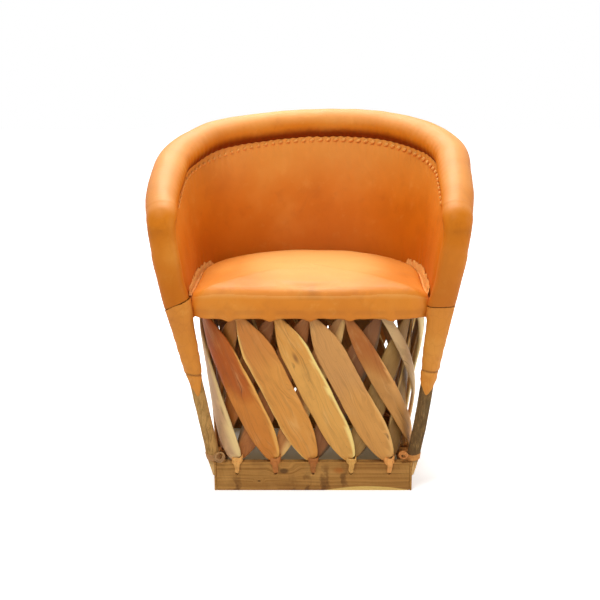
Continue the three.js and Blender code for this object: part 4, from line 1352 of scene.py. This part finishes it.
# Reed core. A bundle of reeds is bound into a rope and bent along the tops of the poles. It gives
# the roll its shape and is sealed inside it.
reeds = Finish("bundled_reeds")
reed_lines = reeds.noise(reeds.place, (700, 700, 700), 3)
reed_patch = reeds.noise(reeds.place, 40, 3)
reed_lit = ((212, 186, 118), reed_lines.above(0.35, 0.65))
reed_dark = ((118, 92, 46), reed_patch.above(0.5, 0.8) * 0.5)
reeds.bump(reed_lines, 0.0008)
reeds.set(Base_Color=reeds.coats((150, 122, 64), reed_lit, reed_dark), Roughness=0.7 + reed_lines * 0.1)
core_slots = nodes["rail_core"].data.materials
core_slots.clear()
core_slots.append(reeds.owner)

# Leg sleeves. A tapered sheath of leather is sewn tight round each pole below the seam. Its lower
# edge is cut to a point that lies against the bark.
sleeve_leather = soft_hide("sleeve_leather", (218, 136, 44), gloss=0.44)
sleeve_hem_z = {1: 259 * mm, -1: 251 * mm}
# How high the cut edge ends on each side, and how far down its point reaches from there.
sleeve_end = {1: (236 * mm, 28 * mm), -1: (249 * mm, 43 * mm)}


def sleeve(side):
    """One sleeve, closed on itself: down the outer face, round the cut edge and its point, and up
    inside. Its grid's first share runs down and up again, its second round the pole."""
    edge_z, point = sleeve_end[side]

    def surface(down, turn):
        way = held((down - 0.02) / 0.96)
        c, s = rounded(turn)
        aside = 29.8 if c * side > 0 else 26
        high = seam_z[side] - 1.6 * mm - side * seam_slope[side] * aside * mm * c
        low = edge_z - point * max(0, -s) ** 2.2 + 2.2 * mm * uneven(c * 4, s * 4, side)
        z = mix(high, low, 1 - abs(2 * way - 1))
        grown = held((z - 250 * mm) / (142 * mm))
        outer = mix(17.6 * mm, 29.8 * mm, grown**0.9)
        inner = mix(16.6 * mm, 22.3 * mm, grown) + 4.5 * mm * held((z - 362 * mm) / (18 * mm))
        clinging = held((250 * mm - z) / (34 * mm))
        crease = 0.8 * mm * uneven(c * 3, s * 3, z * 40 + side)
        crease += 0.5 * mm * sin(z * 260 + 2 * c) * (1 - grown)
        crease -= 1.3 * mm * hump(z - sleeve_hem_z[side], 2.4 * mm)
        crease -= 0 if way < 0.5 else 1.4 * mm
        reach = mix(outer if c * side > 0 else inner, 15 * mm, clinging) + crease
        deep = mix(mix(16.4 * mm, 18.4 * mm, grown), 15.2 * mm, clinging) + crease
        squareness = mix(1, 0.8, grown)
        across, front = rounded(turn, squareness, squareness)
        centre = arm_bow(side, z).lerp(arm_axis(side, z, 4 * mm), grown)
        return centre + Vector((across * reach, front * deep, 0))

    return skin(180, 72, surface)


def hem(side, vert):
    """The sewn hem of a sleeve, a little above its cut edge."""
    level = sleeve_hem_z[side] + 1.6 * mm * sin(90 * vert.co.x + side)
    return max(0, 1 - abs(vert.co.z - level) / (2.6 * mm))


for side_name, side in sides.items():
    sheath = marked(sleeve(side), "seam", partial(hem, side))
    node = f"{side_name}_leg_sleeve"
    shown(f"{side_name}_sleeve_leather", sheath, sleeve_leather, "hide_leather", [node])

# Whip stitching. A thin thong sews the roll to the inner hide with short slanting stitches, about
# 20 mm apart. Round the right half they are thicker and slant more.
stitch_leather = soft_hide("stitch_thong", (244, 172, 84), creases=0.6, gloss=0.42)


def stitch(start, stop, radius, arch, normal):
    """One stitch: a short thong that arches over the seam between its two holes."""
    side = (stop - start).normalized().cross(normal).normalized()

    def surface(u, v):
        centre = start.lerp(stop, v) + normal * arch * sin(pi * v)
        c, s = rounded(u)
        return centre + (side * c * 1.5 + normal * s) * radius * closed_end(v, 0.35)

    return skin(7, 7, surface)


rail_stitches = []
count = round(head_plan.length * 0.84 / stitch_pitch)
for i in range(count + 1):
    share = 0.08 + 0.84 * i / count
    z = rail_z(share)
    rightward = held((0.62 - share) / 0.2)
    slant = mix(0.003, 0.0058, rightward)
    top, normal = wall(share - slant, z - 31 * mm, -(wall_half + 1.4 * mm))
    low, _ = wall(share + slant, z - 38.5 * mm, -(wall_half - 1.4 * mm))
    radius = mix(1.9, 2.9, rightward) * mm
    rail_stitches.append(stitch(top, low, radius, arch=1.8 * mm, normal=-normal))
shown("rail_whip_stitches", together(rail_stitches), stitch_leather, "rawhide", ["rail_lacing"])

# Seat seam. The seat's hide is sewn to the tub along its sides and back. At the sides its cut edge
# stands up as a pale frayed frill.
frill_leather = soft_hide("frayed_edge_leather", (242, 176, 92), creases=1.4, gloss=0.36)


def frill(first, last, seed, tall, rough):
    """The cut edge of the hide, gathered into a ruffle in the crack beside the seat."""

    def surface(u, v):
        share = mix(first, last, v)
        around = share * head_plan.length
        ruffle = sin(around * 330 + 4 * uneven(around * 30, seed, 0)) * 3.2 * mm
        ruffle += 2.6 * mm * uneven(around * 160, u * 3, seed)
        height = (tall + 5 * mm * uneven(around * 70, seed, 4)) * min(1, sin(pi * v) * 5)
        rise = max(u - 0.4, 0) / 0.6
        flat = min(u / 0.4, 1)
        z = mix(400 * mm, 405 * mm, flat) + height * rise
        z += 1.2 * mm * sin(around * 400 + seed) * flat * rough
        out = mix(-40 * mm, -22 * mm, flat) + 3 * mm * rise * rise + ruffle * u * rough * 0.6
        return wall(share, z, out)[0]

    return skin(16, 260, surface)


def welt(u, v):
    """Behind, the edge lies flat from under the pad's side out to the stitches."""
    share = mix(0.2, 0.8, v)
    z = mix(396 * mm, 400.5 * mm, u) + 0.8 * mm * uneven(share * head_plan.length * 40, u, 6)
    return wall(share, z, mix(-44 * mm, -16 * mm, u))[0]


seat_seam = [
    frill(0.02, 0.27, seed=1, tall=17 * mm, rough=1.2),
    frill(0.035, 0.22, seed=5, tall=11 * mm, rough=1.6),
    frill(0.74, 0.98, seed=2, tall=14 * mm, rough=0.8),
    skin(8, 200, welt),
]
for i in range(40):
    share = 0.27 + 0.46 * i / 39
    top, normal = wall(share - 0.0015, 405 * mm, -17.5 * mm)
    low, _ = wall(share + 0.0015, 397 * mm, -24 * mm)
    seat_seam.append(stitch(top, low, radius=1.8 * mm, arch=1.6 * mm, normal=-normal))
shown("seat_seam_frill", together(seat_seam), frill_leather, "rawhide", ["seat_lacing"])

# Camera, floor and light. A long lens a metre above the floor looks down on the chair, which
# stands on white paper under soft lamps.
scene = bpy.context.scene
scene.view_settings.view_transform = "Standard"
camera = bpy.data.objects.new("camera", bpy.data.cameras.new("camera"))
scene.collection.objects.link(camera)
camera.location = (-0.027, -2.4456, 1.0)
camera.rotation_euler = (radians(74.9), 0, 0)
camera.data.lens = 69.42
camera.data.sensor_width = 36
scene.camera = camera


def looked_at(finish):
    """1 where a place is seen by the camera, mirrored or seen through glass, 0 where it only lights."""
    kinds = ("Camera", "Glossy", "Transmission")
    direct, glossy, through_glass = (
        finish.node("ShaderNodeLightPath", output=f"Is {kind} Ray") for kind in kinds
    )
    return direct.most(glossy).most(through_glass)


air = Finish("studio", "worlds", "Background")
scene.world = air.owner
level = air.node("ShaderNodeMapRange", inputs={"Value": looked_at(air), "To Min": 0.4, "To Max": 1.0})
air.set(Color=(1, 1, 1, 1), Strength=level)


def lamp(name, spot, aim, size, power):
    light = bpy.data.lights.new(name, "AREA")
    light.shape = "DISK"
    light.size = size
    light.energy = power
    made = bpy.data.objects.new(name, light)
    made.location = spot
    made.rotation_euler = (Vector(aim) - Vector(spot)).to_track_quat("-Z", "Y").to_euler()
    scene.collection.objects.link(made)


lamp("overhead_soft_box", (-0.15, 1.15, 2.35), aim=(0, -0.1, 0.5), size=1.5, power=48)
lamp("front_soft_box", (-0.8, -1.6, 2.7), aim=(0, 0, 0.35), size=1.2, power=34)
lamp("side_soft_box", (2.3, -0.9, 1.1), aim=(0, 0, 0.35), size=1.2, power=14)

floor_mesh = bmesh.new()
bmesh.ops.create_grid(floor_mesh, x_segments=2, y_segments=2, size=6)
floor_data = bpy.data.meshes.new("floor")
floor_mesh.to_mesh(floor_data)
floor_mesh.free()
floor = bpy.data.objects.new("floor", floor_data)
scene.collection.objects.link(floor)

# The paper glows white for the camera away from the chair and keeps the chair's shadow near it.
# Inside the boards it is painted brownish towards the front as shade with warm bounced light, and
# there it glows only faintly warm, a painted bounce light.
paper = Finish("white_paper")
floor_data.materials.append(paper.owner)
x, y, _ = paper.parts_of(paper.place)
between_sides = x.below(0.194, 0.202) * x.above(-0.202, -0.194)
under = between_sides * y.below(0.108, 0.117) * y.above(-0.244, -0.236)
tone = paper.coats(
    (236, 236, 235),
    ((242, 242, 241), paper.noise(paper.place, 3, 2)),
    ((205, 186, 150), under * y.below(-0.1, 0.02)),
)
seen = looked_at(paper)
glow = paper.coats((0.52, 0.52, 0.52, 1), ((1, 1, 1, 1), (x * x + y * y).above(0.2, 1.4)))
# A faint warm glow inside the boards, painted light standing in for light bounced off the wood.
painted_bounce_glow = paper.coats((0, 0, 0, 1), ((0.062, 0.05, 0.026, 1), seen * under))
paper.set(Base_Color=tone, Roughness=0.95, Emission_Strength=0.9)
paper.set(Emission_Color=paper.coats(painted_bounce_glow, (glow, seen * (1 - under))))
